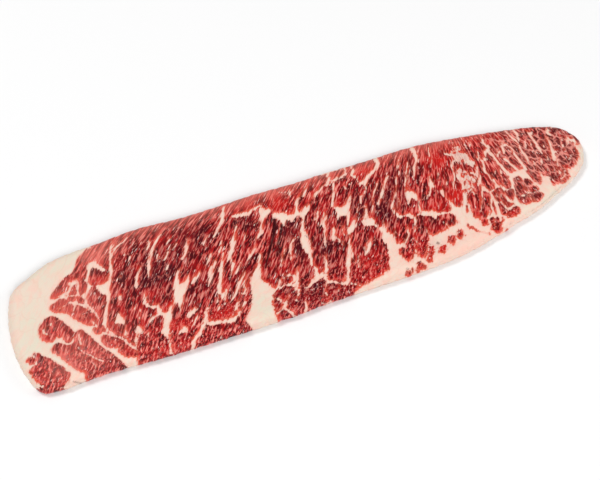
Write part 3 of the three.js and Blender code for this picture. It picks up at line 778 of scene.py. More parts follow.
# %% The porous seam
fat_line((74.4, 31, 0.8), (73, 28.4, 1), (71.8, 25.8, 0.7))
fat_line((87, 29.9, 0.8), (86.8, 26.1, 1.4))
fat_line((89.9, 28.7, 0.9), (88.9, 24.5, 1.5))
fat_line((93.4, 28.8, 0.8), (91.7, 23.4, 1.3))
fat_line((96.2, 28.5, 0.7), (94.7, 24.5, 1))
fat_line((71.8, 23.4, 0.6), (70.6, 21, 0.9), (69.4, 18.6, 0.6))
fat_line((70.8, 13.8, 0.5), (69.4, 11.2, 0.7))
fat_line((72, 7.2, 0.6), (70.4, 4, 0.7))
fat_line(
    (78.9, 15, 0.9), (78.9, 13, 1.3), (78.6, 11.1, 1.6), (77.5, 8.7, 1), (74.8, 4.3, 1.2), (73.4, 1.9, 0.8),
    (72.6, 0, 0.5),
)
fat_area(
    (80, 25.4), (83, 23.6), (86.2, 25.6), (88, 27.6), (90, 27.4), (89, 25), (87.4, 23), (90.6, 20.6),
    (91, 18), (90.4, 16), (91.8, 14.6), (92.2, 13.2), (90.2, 11.4), (88.4, 10.8), (87.2, 13.4), (86, 14.6),
    (84, 15), (82, 17.8), (80, 14.6), (78.6, 14.8), (78.6, 16.2), (81.8, 18.6), (82.8, 20.6), (81.8, 22),
    (78.8, 24.4),
)
lean_line((84.8, 25.4, 0.9), (84.4, 23.6, 0.8))
lean_line((90.6, 23.2, 1), (90.2, 21.8, 0.9))
lean_line((86.6, 16.8, 0.6), (85.6, 15.6, 0.8))
fat_area(
    (78, 9.4), (79.6, 9.8), (80, 12), (81.4, 13), (83, 11.6), (84, 9.8), (88, 7.4), (89.2, 6), (88.4, 3),
    (88, -2), (76.5, -2), (77.2, 1.4), (78.4, 4),
)
lean_line((82.6, 8.6, 0.8), (81.8, 7.2, 1.1))
lean_line((84.6, 7.4, 0.9), (86, 6, 1.3), (87, 4.4, 0.9))
lean_line((80.8, 3.6, 0.7), (80, 2, 1.1))
lean_line((83.6, 3, 0.9), (82.4, 1, 1.5))
lean_line((87.6, 3.2, 0.8), (86.4, 1.2, 1.3), (84.6, -0.2, 1.7))
fat_line((91.4, 10.6, 1.3), (90, 7.6, 1.7), (88.8, 5.2, 1.4))
fat_line((90, 4.6, 0.9), (87.6, -0.6, 1.1))
fat_line(
    (96.2, 19, 0.8), (95.4, 16.6, 1.1), (94.3, 14.4, 1.5), (95.7, 12.5, 2), (95.4, 10.8, 1.4),
    (94.2, 7.8, 2), (93.2, 5.8, 1.8), (93.9, 2.8, 1.1), (93.6, 0, 1),
)
fat_line(
    (95.9, 12.6, 1.6), (97.5, 13.4, 1.4), (98.6, 15.5, 1.4), (99.8, 17.8, 1.8), (101.6, 17.8, 2.4),
    (102.8, 19.6, 1.2), (103.4, 21.6, 0.8),
)
fat_line((104.5, 29.8, 0.9), (103, 26.4, 1.1), (101.9, 24, 1.8), (103, 19.6, 1.1))
fat_line(
    (101.6, 16.6, 2), (102.5, 14, 1.8), (102.2, 8.1, 1.8), (102.8, 5.8, 2), (103.1, 3.1, 2),
    (103.4, -0.2, 2.6),
)
fat_line((107.5, 15.6, 1), (105.6, 14.4, 1.4), (104.4, 12.6, 0.9))
fat_line((107.2, 9.6, 2.2), (107.8, 6.6, 1.4), (108.4, 3.7, 1.6), (109.2, 1.1, 1.4), (110.1, -0.6, 1.6))
fat_line((111.6, 22.4, 0.9), (109.2, 15.5, 1.6), (108.4, 13.4, 1.2))
fat_line((98.6, 4.4, 0.8), (97.6, 2.8, 1.2))
fat_line((101.4, 4.4, 0.7), (100.4, 2, 1), (99.6, 0, 0.8))
fat_line((96, 26.4, 0.6), (95.2, 25, 1))
print(len(strokes), "strokes so far")

# %% Veins and rim of the tip
fat_line(
    (110, 18, 2), (112.4, 18.4, 1.6), (113.6, 16.4, 1.3), (114.2, 13.6, 1), (113, 10.6, 1.4),
    (113.2, 8.7, 1.9), (113.5, 6.1, 1.8), (113.5, 2.8, 2), (113.2, -0.4, 2.2),
)
fat_line(
    (117.1, 27.4, 1.4), (117.1, 24.3, 1.4), (118.2, 19.6, 1.4), (118.8, 17.5, 1), (117.6, 9.6, 1.6),
    (117.9, 6.4, 1.6), (116.4, 1.4, 0.6),
)
fat_line(
    (121, 27.4, 1.3), (121.2, 25, 1.7), (121.3, 22.8, 1.7), (120.6, 21.2, 1.2), (120.3, 19, 0.8),
    (119.2, 17.2, 0.8),
)
fat_line((122.5, 16.6, 0.6), (121.6, 14.6, 1.2), (120.8, 12.2, 0.9))
fat_line(
    (127.2, 23.6, 0.7), (127.6, 19.9, 1.2), (127.6, 16.6, 1.6), (127.4, 13.7, 1.4), (126.9, 11.1, 2),
    (127.1, 8.4, 1.6), (126.5, 6.1, 0.8),
)
fat_line((130.4, 22.4, 0.5), (129, 20.8, 1), (128, 19.6, 0.9))
fat_line(
    (134.9, 14.8, 1.4), (134.6, 12.8, 1.9), (133.9, 10.2, 1.4), (132.8, 7, 1.3), (132.2, 4.6, 2.1),
    (131, 1.6, 2.4), (130.4, -0.4, 2),
)
fat_line((132.6, 4.6, 1.4), (134.8, 4.4, 1.1))
fat_line((138.8, 21, 0.7), (137.1, 17.8, 1.8), (137.6, 15.8, 1))
fat_line((144.7, 11.4, 1.2), (144.2, 9.4, 2), (142.8, 6.8, 1.1))
fat_line((144.4, 9.2, 2.2), (146.4, 8, 2.4), (146.2, 6, 1.2), (145, 4.3, 1.2))
fat_line((146.6, 3.4, 3), (145.8, 0, 3.2))
fat_line(
    (147.2, 16.4, 0.9), (150.2, 13, 1.6), (151.4, 9, 2.2), (149.6, 3, 4.4), (146.4, -2, 4.8),
    (141, -8.4, 2.8), (136, -11.8, 2.4),
)
fat_line((130.4, 10.8, 0.6), (129.8, 9.6, 0.9))
fat_line((125, 14.2, 1), (124, 13, 1.5))
fat_line((123.4, 9.6, 0.5), (122.6, 8, 0.8))
fat_line((119.8, 2.8, 0.9), (119.4, 0.8, 1.5), (119.8, -1, 0.8))
fat_line((124.4, 3, 0.8), (123.6, 1.2, 1.5), (122.6, -0.6, 1))
fat_line((128, 3.2, 0.7), (127.4, 1.4, 1.2))
fat_line((139.8, 7.6, 1), (139.2, 6.4, 1))
fat_line((139.4, 3.8, 0.8), (138.9, 2.6, 1.1))
fat_line((141.4, 11.4, 0.8), (140.9, 10.2, 1.1))
fat_line((135.2, 22.8, 0.7), (134.4, 21.8, 1.1))
fat_line((141.6, 20.6, 1), (140.2, 20, 1.1))
print(len(strokes), "strokes so far")

# %% [markdown]
# ## From strokes to a distance
#
# Corners of an area are rounded first by cutting each corner off twice. The distance to an area is the
# distance to its nearest side, positive inside. The distance to a line is its half width less the
# distance to its middle. Fat joins what is there by taking the larger value, and lean takes away by
# keeping the smaller one.

# %% Painting the strokes at any set of places
REACH = 3.0  # distances are only kept up to this many millimetres
LEAN_GROWTH = 0.6  # cutting the corners shrinks an island of lean, and this much makes up for it
LINE_SLIMMING = 0.1  # a line of fat looks wider where its edge is pale, and this makes up for it


def cut_corners(outline):
    """The outline with its corners cut off twice."""
    points = np.array(outline, float)
    for _ in range(2):
        after = np.roll(points, -1, 0)
        points = np.stack([0.75 * points + 0.25 * after, 0.25 * points + 0.75 * after], 1).reshape(-1, 2)
    return points


def area_depth(x, y, outline):
    """How far inside a closed outline each place lies, negative outside."""
    corners = cut_corners(outline)
    nearest = np.full(x.shape, 1e9)
    inside = np.zeros(x.shape, bool)
    for (ax, ay), (bx, by) in zip(corners, np.roll(corners, -1, 0)):
        dx, dy = bx - ax, by - ay
        t = np.clip(((x - ax) * dx + (y - ay) * dy) / max(dx * dx + dy * dy, 1e-9), 0, 1)
        nearest = np.minimum(nearest, (x - ax - t * dx) ** 2 + (y - ay - t * dy) ** 2)
        if ay != by:
            inside ^= ((ay > y) != (by > y)) & (x < ax + (y - ay) * dx / (by - ay))
    return np.where(inside, 1, -1) * np.sqrt(nearest)


def line_depth(x, y, path):
    """How far inside a line of changing width each place lies, negative outside."""
    best = np.full(x.shape, -1e9)
    for (ax, ay, aw), (bx, by, bw) in zip(path[:-1], path[1:]):
        dx, dy = bx - ax, by - ay
        t = np.clip(((x - ax) * dx + (y - ay) * dy) / (dx * dx + dy * dy), 0, 1)
        width = aw + t * (bw - aw)
        best = np.maximum(best, width / 2 - np.hypot(x - ax - t * dx, y - ay - t * dy))
    return best


def fat_depth(x, y):
    """Distance into the fat at each place, from -REACH to REACH millimetres."""
    depth = np.full(x.shape, -REACH)
    for kind, shape, points in strokes:
        spread = np.array([point[:2] for point in points])
        low, high = spread.min(0) - REACH - 1, spread.max(0) + REACH + 1
        near = (x > low[0]) & (x < high[0]) & (y > low[1]) & (y < high[1])
        if not near.any():
            continue
        if shape == "area":
            stroke = area_depth(x[near], y[near], points) + (LEAN_GROWTH if kind == LEAN else 0)
        else:
            stroke = line_depth(x[near], y[near], points) - (LINE_SLIMMING if kind == FAT else 0)
        depth[near] = np.maximum(depth[near], stroke) if kind == FAT else np.minimum(depth[near], -stroke)
    return np.clip(depth, -REACH, REACH)


print("the middle lies", fat_depth(np.zeros(1), np.zeros(1)).round(2), "mm inside the fat")

# %% [markdown]
# The fibres of the muscle all lean one way, like short strokes of a brush. They slant to the right, most
# of all left of the middle and near the far edge, and stand upright towards the tip. Two coordinates
# follow them, one across the fibres and one along them, so that any pattern stretched in the second one
# turns into fibres. At the near edge and the tip the knife cut the fibres more squarely and they look
# short, so there the second coordinate runs faster.

# %% The grain of the meat
GRAIN_X = [-150, -100, -45, -10, 35, 72, 92, 120, 150]
GRAIN_SLANT = [0.50, 0.58, 0.76, 0.64, 0.64, 0.48, 0.14, -0.12, 0.10]  # shift to the side for each mm
BEND_FROM, BEND = 18, 0.02  # past this Y the fibres bend over towards the far edge
SHORT_FROM, SHORTENING = -21, 1.1  # on the near side of this Y they look shorter
TIP_X, TIP_SPEED = [85, 120], [1.0, 1.5]  # and towards the tip as well


def grain(x, y):
    """The coordinates across and along the fibres at each place."""
    slant = np.interp(x, GRAIN_X, GRAIN_SLANT)
    across = x - slant * (y + BEND * np.clip(y - BEND_FROM, 0, None) ** 2)
    along = y * np.sqrt(1 + slant**2) + SHORTENING * np.clip(y - SHORT_FROM, None, 0)
    return across, along * np.interp(x, TIP_X, TIP_SPEED)


TABLE_SIZE = 256


def soft_noise(u, v, seed):
    """Smooth random hills and dips, from -1 to 1, about one unit apart."""
    table = np.random.default_rng(seed).uniform(-1, 1, (TABLE_SIZE, TABLE_SIZE))
    column, row = np.floor(u).astype(int), np.floor(v).astype(int)
    across, up = u - column, v - row
    across, up = across**2 * (3 - 2 * across), up**2 * (3 - 2 * up)
    left, right = column % TABLE_SIZE, (column + 1) % TABLE_SIZE
    below, above = row % TABLE_SIZE, (row + 1) % TABLE_SIZE
    low = table[left, below] * (1 - across) + table[right, below] * across
    high = table[left, above] * (1 - across) + table[right, above] * across
    return low * (1 - up) + high * up


print("grain at the middle of the near edge:", [round(float(c), 1) for c in grain(0.0, -36.0)])

# %% [markdown]
# ## Tones of the lean and the fat
#
# Lean is dark and purplish where it is thick and dry, bright orange-red where blood is fresh, and salmon
# pink where fat shows through. The long salmon band along the far edge is painted sheen, the pale light
# that the rolled far edge catches. Fat is cream, yellower in the thick wedge and pinker in the thin fields.
# The tones are sets of soft round patches, each given by place, half length, half height and strength.

# %% Soft patches of tone
DARK = [
    (-80, 9, 18, 12, 1.0), (-72, -12, 8, 8, 0.5), (-55, 20, 12, 8, 0.9), (-104, 17, 3, 3, 0.9),
    (49, 19, 6, 6, 1.0), (38, 7, 12, 9, 1.0), (35, -4, 4, 5, 0.8), (-12.7, -8, 1.5, 2.5, 1.0),
    (-13, -27, 3, 3, 0.8), (-33, -26, 3, 3, 0.6), (86, 11, 3, 3, 0.8), (141, 4, 10, 13, 0.5),
    (-9, 11, 2, 3, 0.7), (-12, 4, 6, 12, 0.8), (-80, 27, 16, 5, 0.4), (52, -15, 6, 6, 0.5),
    (-60, -8, 5, 9, 0.4), (-30, 18, 8, 6, 0.5), (-1, -8, 4, 10, 0.8), (24, 8, 6, 10, 0.6),
    (34, -36, 5, 3, 0.9), (60, 22, 5, 8, 0.6), (-40, -8, 5, 8, 0.4), (98, -14, 8, 8, 0.5),
    (118, 10, 12, 10, 0.4), (-20, -33, 16, 4, 0.5), (-14, -21, 36, 15, 0.4), (12, 9, 32, 9, 0.25),
    (-105, 0, 28, 15, 0.18), (128, 6, 20, 16, 0.3), (92, -15, 14, 9, 0.25),
]
BRIGHT = [
    (-106, 12, 4, 3, 0.9), (-87, 13, 2, 2, 0.8), (-73, 25, 4, 2, 0.8), (-71, -2, 2, 2, 0.9),
    (-87, -4, 2.5, 2, 0.9), (-80, -13, 4, 2.5, 0.9), (-80, -24, 6, 3.5, 0.9), (-104, -30, 3, 3, 0.5),
    (-86, -36, 10, 3.5, 0.6), (-60, 2, 3, 3, 0.9), (-52, -13, 1.5, 2, 0.7), (-57, -27, 6, 3.5, 0.9),
    (-34, -15, 1.5, 3, 0.9), (-38, 12, 2, 3, 0.5), (-26, 30, 4, 4, 0.9), (-9, -18, 1.5, 5, 0.9),
    (-12, 26, 6, 7, 0.9), (7, 12, 3, 3, 0.8), (17, 14, 4, 2.5, 0.9), (18, 2.5, 2.5, 2, 0.9),
    (21, 32, 4, 2, 0.8), (37, 29, 7, 4, 0.9), (30, -5.5, 1.5, 2, 0.8), (34, -18, 2, 2, 0.7),
    (53, 10, 2.5, 3, 0.7), (60, -6, 8, 5, 0.7), (71, -5, 6, 6, 0.9), (77, 22, 3, 3, 0.7),
    (75, 1, 4, 4, 0.8), (108, 25, 6, 6, 0.6), (52, -30, 12, 5, 0.8), (16, -25, 8, 6, 0.7),
    (72, 20, 8, 11, 0.6), (-25, -14, 4, 5, 0.4), (90, -28, 12, 4, 0.3), (92, 30, 28, 6, 0.5),
]
# Salmon tone of the lean; the long patches along the far edge are painted sheen instead.
SALMON_AND_SHEEN = [
    (-104, 28, 9, 6, 0.9), (-60, 36, 60, 6, 0.8), (20, 36, 60, 5, 0.7), (90, 34, 30, 5, 0.7),
    (66, -21, 3, 3, 0.7), (-121, 8, 15, 14, 0.5), (-120, -22, 18, 14, 0.45), (-134, -28, 8, 8, 0.3),
    (116, 6, 26, 17, 0.15), (141, 6, 12, 14, 0.1), (105, -12, 18, 10, 0.1),
]
YELLOW_FAT = [
    (-140, -8, 12, 26, 1.0), (-41, -30, 7, 12, 0.9), (-126, 26, 12, 7, 0.8), (-112, 30, 8, 5, 0.5),
    (145, -2, 8, 10, 0.6), (110, -20, 24, 5, 0.7),
]
PINK_FAT = [
    (-133, -34, 8, 5, 0.7), (60, -34, 20, 8, 0.7), (30, -30, 4, 6, 0.3), (-118, -12, 14, 12, 0.3),
    (74, -24, 8, 5, 0.6),
]
# Where the fibres are cut squarely and the lean looks like crumbs.
CRUMBLY = [
    (-121, 4, 17, 22, 0.9), (-122, -26, 20, 14, 0.9), (118, 4, 26, 22, 0.8), (-66, -38, 50, 9, 0.6),
    (-6, -37, 34, 8, 0.7), (90, -14, 18, 14, 0.5), (48, -22, 14, 10, 0.5),
]
POROUS = [
    (90, 27, 7, 4, 0.8), (86, 24, 5, 4, 1.0), (86, 16, 5, 7, 1.0), (83, 6, 3.5, 6, 1.0),
    (79, -3, 3, 5, 0.9), (76, -13, 3, 5, 0.5), (46, -28, 8, 5, 0.5),
]


def patches(x, y, spots):
    """Strength of a tone at each place, 0 to 1."""
    total = np.zeros(x.shape)
    for cx, cy, rx, ry, strength in spots:
        total += strength * np.exp(-(((x - cx) / rx) ** 2) - ((y - cy) / ry) ** 2)
    return np.clip(total, 0, 1)


print(len(DARK), "dark,", len(BRIGHT), "bright and", len(SALMON_AND_SHEEN), "salmon patches in the lean")

# %% [markdown]
# ## The relief of the cut face
#
# The face isn't flat. The knife leaves long swells, the muscle has opened along two furrows in the
# middle, a wet hollow lies in the near corner of the blunt end, and the soft lean bulges between the
# firmer veins of fat. Sculpting by hand would do it, but most of this follows the map of the fat, so the
# height is worked out from the same distance.

# %% Height of the cut face
THICKNESS = 6.0
WIDEST_Z = 2.4
SHOULDER = 4.5
SWELLS = [(0.22, 71, 0.45, 0.6), (0.14, 33, -0.3, 2.1)]  # height, length along X, lean, phase
FURROWS = [  # depth, half width and places
    (1.5, 1.5, [(-16.8, 16.5), (-20.8, 8.5), (-25.8, -1.5), (-29.8, -8.5), (-33.4, -14)]),
    (1.2, 1.2, [(-16.8, 8.5), (-18.8, 4.5), (-21.8, -1.5), (-22.8, -3.5)]),
]
POCKET = (-137.5, -27.0, 7.0, 4.0, 1.0)  # place, half length, half width, depth
# Where the cleft and a few cracks are open so far that no light gets in: places and widths.
DARK_LINES = [
    [(-16.9, 16.7, 1.0), (-18, 13, 1.9), (-19.8, 9.3, 1.7), (-22.3, 5, 1.5), (-24.8, 1.2, 1.6),
     (-27.1, -2.7, 1.3), (-29.2, -6.1, 1.0), (-31.3, -9.5, 0.7)],
    [(-14.8, 11.8, 1.2), (-16.8, 8.1, 1.2), (-18.8, 4.5, 1.2), (-21.1, 1.4, 1.1), (-23.1, -1.2, 0.6)],
    [(-6.8, 1.6, 0.1), (-5.8, -0.5, 0.4), (-4.7, -2.3, 0.1)],
    [(50.4, -26.3, 1.0), (50.9, -26.9, 0.6)], [(30.2, -34.8, 0.6), (30.8, -35.2, 0.3)],
    [(-12.7, -7, 0.6), (-13.5, -9.5, 0.6)], [(-130, -36, 0.3), (-127, -38, 0.3)],
]
LEAN_BULGE = 0.28
FAT_BULGE = 0.18
LEAN_RISE, FAT_RISE = 1.2, 1.6  # the distance over which each bulge rises
FIBRE_HEIGHT = 0.07
FIBRES = [(1.3, 5.0, 0, 11, 1.0), (0.9, 3.0, 40, 12, 0.5)]  # width, length, shift, seed and share


def furrow_depth(x, y):
    """Depth of the open cleft at each place."""
    depth = np.zeros(x.shape)
    for deepest, half, path in FURROWS:
        middle = line_depth(x, y, [(px, py, 0.0) for px, py in path])
        depth = np.maximum(depth, deepest * np.exp(-((middle / half) ** 2)))
    return depth


def face_height(x, y, fat):
    """Height of the cut face above the underside."""
    swells = (h * np.sin(2 * np.pi * (x + lean * y) / length + phase) for h, length, lean, phase in SWELLS)
    z = THICKNESS + sum(swells)
    z -= furrow_depth(x, y)
    px, py, rx, ry, depth = POCKET
    z -= depth * np.exp(-(((x - px) / rx) ** 2) - ((y - py) / ry) ** 2)
    lean = fat < 0
    lean_bulge = LEAN_BULGE * (1 - np.exp(fat / LEAN_RISE))
    fat_bulge = FAT_BULGE * (1 - np.exp(-fat / FAT_RISE))
    z += np.where(lean, lean_bulge, fat_bulge)
    across, along = grain(x, y)
    fibre = sum(
        share * soft_noise(across / width + shift, along / length, seed)
        for width, length, shift, seed, share in FIBRES
    )
    z += FIBRE_HEIGHT * fibre * np.clip(0.25 - fat, 0.15, 1)
    return z - LEAN_BULGE


print("the cleft is", furrow_depth(np.array([-20.8]), np.array([8.5])).round(2), "mm deep")

# %% [markdown]
# ## The slice
#
# The cut face is a grid, a sheet of small squares whose four sides are laid on the four stretches of the
# rim and whose inside is stretched between them. Its edge loop is then extruded ring by ring, over the
# widest line and under it to the flat underside, which is a second, coarser grid bridged to the last
# ring. A flattened box with a displacement would be quicker, but its squares would not follow the rim and
# the edge would look stepped.

# %% The cut face, as a grid stretched between the four stretches of the rim
COLUMNS, ROWS = 520, 128
FACE_INSET = 0.6
far_end = len(BLUNT_END) + len(FAR_EDGE)
grid_corners = (0, len(BLUNT_END) - 1, far_end - 1, far_end + len(TIP))
corner_reach = [rim_reach[k * STEPS_PER_SPAN] for k in grid_corners]
BLUNT_NEAR, BLUNT_FAR, TIP_FAR, TIP_NEAR = corner_reach


def sides_of_grid(u, v):
    """Distances along the rim of the near, far, blunt and tip sides of the grid, at the shares u and v."""
    near = rim_length + (TIP_NEAR - rim_length) * u
    far = BLUNT_FAR + (TIP_FAR - BLUNT_FAR) * u
    blunt = BLUNT_NEAR + (BLUNT_FAR - BLUNT_NEAR) * v
    tip = TIP_NEAR + (TIP_FAR - TIP_NEAR) * v
    return near, far, blunt, tip


def stretched_grid(u, v, inset):
    """Places inside the rim: each is blended from the four sides of the grid."""
    near, far, blunt, tip = (rim_place(side, inset) for side in sides_of_grid(u, v))
    corners = [rim_place(c, inset) for c in corner_reach]
    u, v = u[:, None], v[:, None]
    straight = (
        (1 - u) * (1 - v) * corners[0] + (1 - u) * v * corners[1]
        + u * v * corners[2] + u * (1 - v) * corners[3]
    )
    return (1 - v) * near + v * far + (1 - u) * blunt + u * tip - straight


def new_grid(name, columns, rows):
    """A flat grid primitive, one unit wide, with the shares u and v of each vertex."""
    bpy.ops.object.select_all(action="DESELECT")
    bpy.ops.mesh.primitive_grid_add(x_subdivisions=columns, y_subdivisions=rows, size=1)
    piece = bpy.context.object
    piece.name = name
    flat = np.empty(len(piece.data.vertices) * 3)
    piece.data.vertices.foreach_get("co", flat)
    flat = flat.reshape(-1, 3) + 0.5
    return piece, flat[:, 0], flat[:, 1]


def grid_edge_distance(u, v):
    """Distance along the rim of each vertex on the grid's edge, and -1 inside."""
    near, far, blunt, tip = sides_of_grid(u, v)
    edge = np.full(u.shape, -1.0)
    tiny = 1e-5
    for side, mask in ((near, v < tiny), (far, v > 1 - tiny), (blunt, u < tiny), (tip, u > 1 - tiny)):
        edge[mask] = side[mask]
    return edge


def vertex_places(piece):
    places = np.empty(len(piece.data.vertices) * 3)
    piece.data.vertices.foreach_get("co", places)
    return places.reshape(-1, 3) / MM


def place_vertices(piece, places):
    piece.data.vertices.foreach_set("co", (places * MM).ravel())
    piece.data.update()


def store(piece, name, kind, values):
    """Keeps one value for each vertex on the mesh."""
    layer = piece.data.attributes.get(name) or piece.data.attributes.new(name, kind, "POINT")
    layer.data.foreach_set("value" if kind == "FLOAT" else "vector", np.asarray(values, float).ravel())


def rim_distances(piece):
    """The stored distance along the rim of each vertex, and -1 off the rim."""
    distance = np.empty(len(piece.data.vertices), np.float32)
    piece.data.attributes["rim_distance"].data.foreach_get("value", distance)
    return distance


steak, u, v = new_grid("blade_steak", COLUMNS, ROWS)
plane = stretched_grid(u, v, FACE_INSET)
store(steak, "rim_distance", "FLOAT", grid_edge_distance(u, v))
print("the cut face has", len(u), "vertices")

# %% [markdown]
# Near the rim the face rolls down like the side of a cushion. How far a vertex is from the rim decides
# its height, and a tree of rim places finds the nearest one fast.

# %% Heights of the cut face
rim_tree = KDTree(len(rim_line))
widest = rim_place(rim_reach[:-1], 0)
for number, (x, y) in enumerate(widest):
    rim_tree.insert((x, y, 0), number)
rim_tree.balance()


def rolled(z, inset):
    """Lowers a height near the rim, along a quarter of an ellipse."""
    share = 1 - np.clip(inset / SHOULDER, 0, 1)
    return WIDEST_Z + (z - WIDEST_Z) * np.sqrt(1 - share**2)


from_rim = np.array([rim_tree.find((x, y, 0))[2] for x, y in plane])
face = face_height(plane[:, 0], plane[:, 1], fat_depth(plane[:, 0], plane[:, 1]))
place_vertices(steak, np.column_stack([plane, rolled(face, from_rim)]))
print("the face lies between", rolled(face, from_rim).min().round(2), "and", face.max().round(2), "mm")

# %% Rings of the rim, extruded one by one from the face's edge
# Inset and height of each ring.
RIM_RINGS = [(0.25, 3.58), (0.07, 3.03), (0.0, 2.4), (0.07, 1.6), (0.24, 0.85), (0.55, 0.28), (1.0, 0.0)]


def edit(piece):
    """Selects one piece alone and opens it in edit mode."""
    bpy.ops.object.select_all(action="DESELECT")
    piece.select_set(True)
    bpy.context.view_layer.objects.active = piece
    bpy.ops.object.mode_set(mode="EDIT")


edit(steak)
bpy.ops.mesh.select_mode(type="VERT")
bpy.ops.mesh.select_all(action="DESELECT")
bpy.ops.mesh.select_non_manifold()
for inset, height in RIM_RINGS:
    bpy.ops.mesh.extrude_edges_move()
    bpy.ops.object.mode_set(mode="OBJECT")
    picked = np.empty(len(steak.data.vertices), bool)
    steak.data.vertices.foreach_get("select", picked)
    places = vertex_places(steak)
    places[picked, :2] = rim_place(rim_distances(steak)[picked], inset)
    places[picked, 2] = height
    place_vertices(steak, places)
    bpy.ops.object.mode_set(mode="EDIT")
bpy.ops.object.mode_set(mode="OBJECT")
print("with its rim it has", len(steak.data.vertices), "vertices")

# %% The underside: a coarser grid, bridged to the last ring
UNDER_COLUMNS, UNDER_ROWS = 260, 64
UNDER_INSET = 1.7

underside, u, v = new_grid("underside", UNDER_COLUMNS, UNDER_ROWS)
plane = stretched_grid(u, v, UNDER_INSET)
place_vertices(underside, np.column_stack([plane, np.zeros(len(plane))]))
store(underside, "rim_distance", "FLOAT", np.full(len(plane), -1.0))

bpy.ops.object.select_all(action="DESELECT")
underside.select_set(True)
steak.select_set(True)
bpy.context.view_layer.objects.active = steak
bpy.ops.object.join()
edit(steak)
bpy.ops.mesh.select_all(action="DESELECT")
bpy.ops.mesh.select_non_manifold()
bpy.ops.mesh.bridge_edge_loops()
bpy.ops.mesh.select_all(action="SELECT")
bpy.ops.mesh.normals_make_consistent(inside=False)
bpy.ops.object.mode_set(mode="OBJECT")
bpy.ops.object.shade_smooth()
steak.data.calc_loop_triangles()
print("the whole slice has", len(steak.data.loop_triangles), "triangles")

# %% [markdown]
# ## What each vertex carries
#
# The strokes lie on the plane of the cut face as the camera sees it, so a vertex lower down takes the
# tone of the place where its line of sight meets that plane. So the seams run through the slice at a
# slant, down the cut sides and across the underside, as they do in real meat.

# %% Fat, grain and tone are stored on the vertices
places = vertex_places(steak)
sight = (camera_place[2] - THICKNESS) / (camera_place[2] - places[:, 2])
seen_x = camera_place[0] + (places[:, 0] - camera_place[0]) * sight
seen_y = camera_place[1] + (places[:, 1] - camera_place[1]) * sight

CLEFT_SOFT = 0.35  # half of the width over which the cleft's edge fades
FAT_SOFT = 0.7  # the same for fat further on
LOOK = 2.6  # how far along the fibres to look for fat
LOOK_STEPS = ((0.6, 1.0), (1.3, 0.6))  # shares of that distance, and how much each counts


def fat_further_on(x, y, distance):
    """How surely fat lies at a distance along the fibres, 0 to 1, on the near side if it is negative."""
    slant = np.interp(x, GRAIN_X, GRAIN_SLANT)
    found = []
    for part, weight in LOOK_STEPS:
        step = part * distance
        depth = fat_depth(x + slant * step, y + step)
        found.append(weight * np.clip((depth + FAT_SOFT) / (2 * FAT_SOFT), 0, 1))
    return np.maximum(*found)


seen_fat = fat_depth(seen_x, seen_y)
store(steak, "fat", "FLOAT", seen_fat)
across, along = grain(seen_x, seen_y)
store(steak, "grain", "FLOAT_VECTOR", np.column_stack([across, along, patches(seen_x, seen_y, CRUMBLY)]))
lean_tone_and_sheen = [patches(seen_x, seen_y, spots) for spots in (DARK, BRIGHT, SALMON_AND_SHEEN)]
store(steak, "lean_tone_and_sheen", "FLOAT_VECTOR", np.column_stack(lean_tone_and_sheen))
fat_tone = [patches(seen_x, seen_y, spots) for spots in (YELLOW_FAT, PINK_FAT, POROUS)]
store(steak, "fat_tone", "FLOAT_VECTOR", np.column_stack(fat_tone))
# Painted shade: how surely a place lies in a cleft or crack too deep for light.
cleft = np.max([line_depth(seen_x, seen_y, path) for path in DARK_LINES], 0)
cleft = np.clip((cleft + CLEFT_SOFT) / (2 * CLEFT_SOFT), 0, 1)
# Painted light and shade by the veins: lean on the far side of a vein of fat is painted lighter and orange,
# lean on its near side darker and purple, and the cleft is painted near black.
light_past_fat, shade_before_fat = fat_further_on(seen_x, seen_y, -LOOK), fat_further_on(seen_x, seen_y, LOOK)
store(steak, "light_and_shade_by_fat", "FLOAT_VECTOR", np.column_stack([light_past_fat, shade_before_fat, cleft]))
print("vertices in the fat:", round(float((seen_fat > 0).mean() * 100)), "%")

# %% [markdown]
# Other programs take the finish as pictures laid on a flat pattern of the surface. The slice is long and
# a picture is square, so the pattern is cut once across the middle: the two halves of the cut face, each
# with its rim folded out flat, lie above each other, and the plain underside gets what is left. Blender
# could unfold it by itself, but it would scatter the rim in many small islands with a seam around each.

# %% The flat pattern
PATTERN_WIDTH = 164.0  # one half of the slice with its folded rim
PATTERN_MARGIN = 0.008
MIDDLE_ROOM = 4  # the faces at the cut across the middle reach a little past it
FACE_SPAN, FACE_STRIP = 100, 0.4  # width of a half's strip, in millimetres and as a share of the pattern
LEFT_FROM, RIGHT_FROM = 0.6, 0.2  # where the two strips begin
UNDER_LENGTH, UNDER_SPAN, UNDER_STRIP = 320, 80, 0.19  # the same for the underside
FACE_EDGE_Z = 4.1
HAIR = 0.001

rim_distance = rim_distances(steak)
flat = places[:, :2].copy()
folded, before = 0.0, (FACE_INSET, FACE_EDGE_Z)
for ring in RIM_RINGS:
    folded += math.dist(ring, before)
    before = ring
    on_ring = (rim_distance >= 0) & (np.abs(places[:, 2] - ring[1]) < 0.005)
    flat[on_ring] = rim_place(rim_distance[on_ring], FACE_INSET - folded)

corners = len(steak.data.loops)
corner_vertex = np.empty(corners, int)
steak.data.loops.foreach_get("vertex_index", corner_vertex)
face_start = np.empty(len(steak.data.polygons), int)
steak.data.polygons.foreach_get("loop_start", face_start)
face_of_corner = np.searchsorted(face_start, np.arange(corners), side="right") - 1
sizes = np.bincount(face_of_corner)
middle_x = np.bincount(face_of_corner, flat[corner_vertex, 0]) / sizes
flat_below = (rim_distance[corner_vertex] < 0) & (places[corner_vertex, 2] < HAIR)
below = np.bincount(face_of_corner, flat_below) > 0

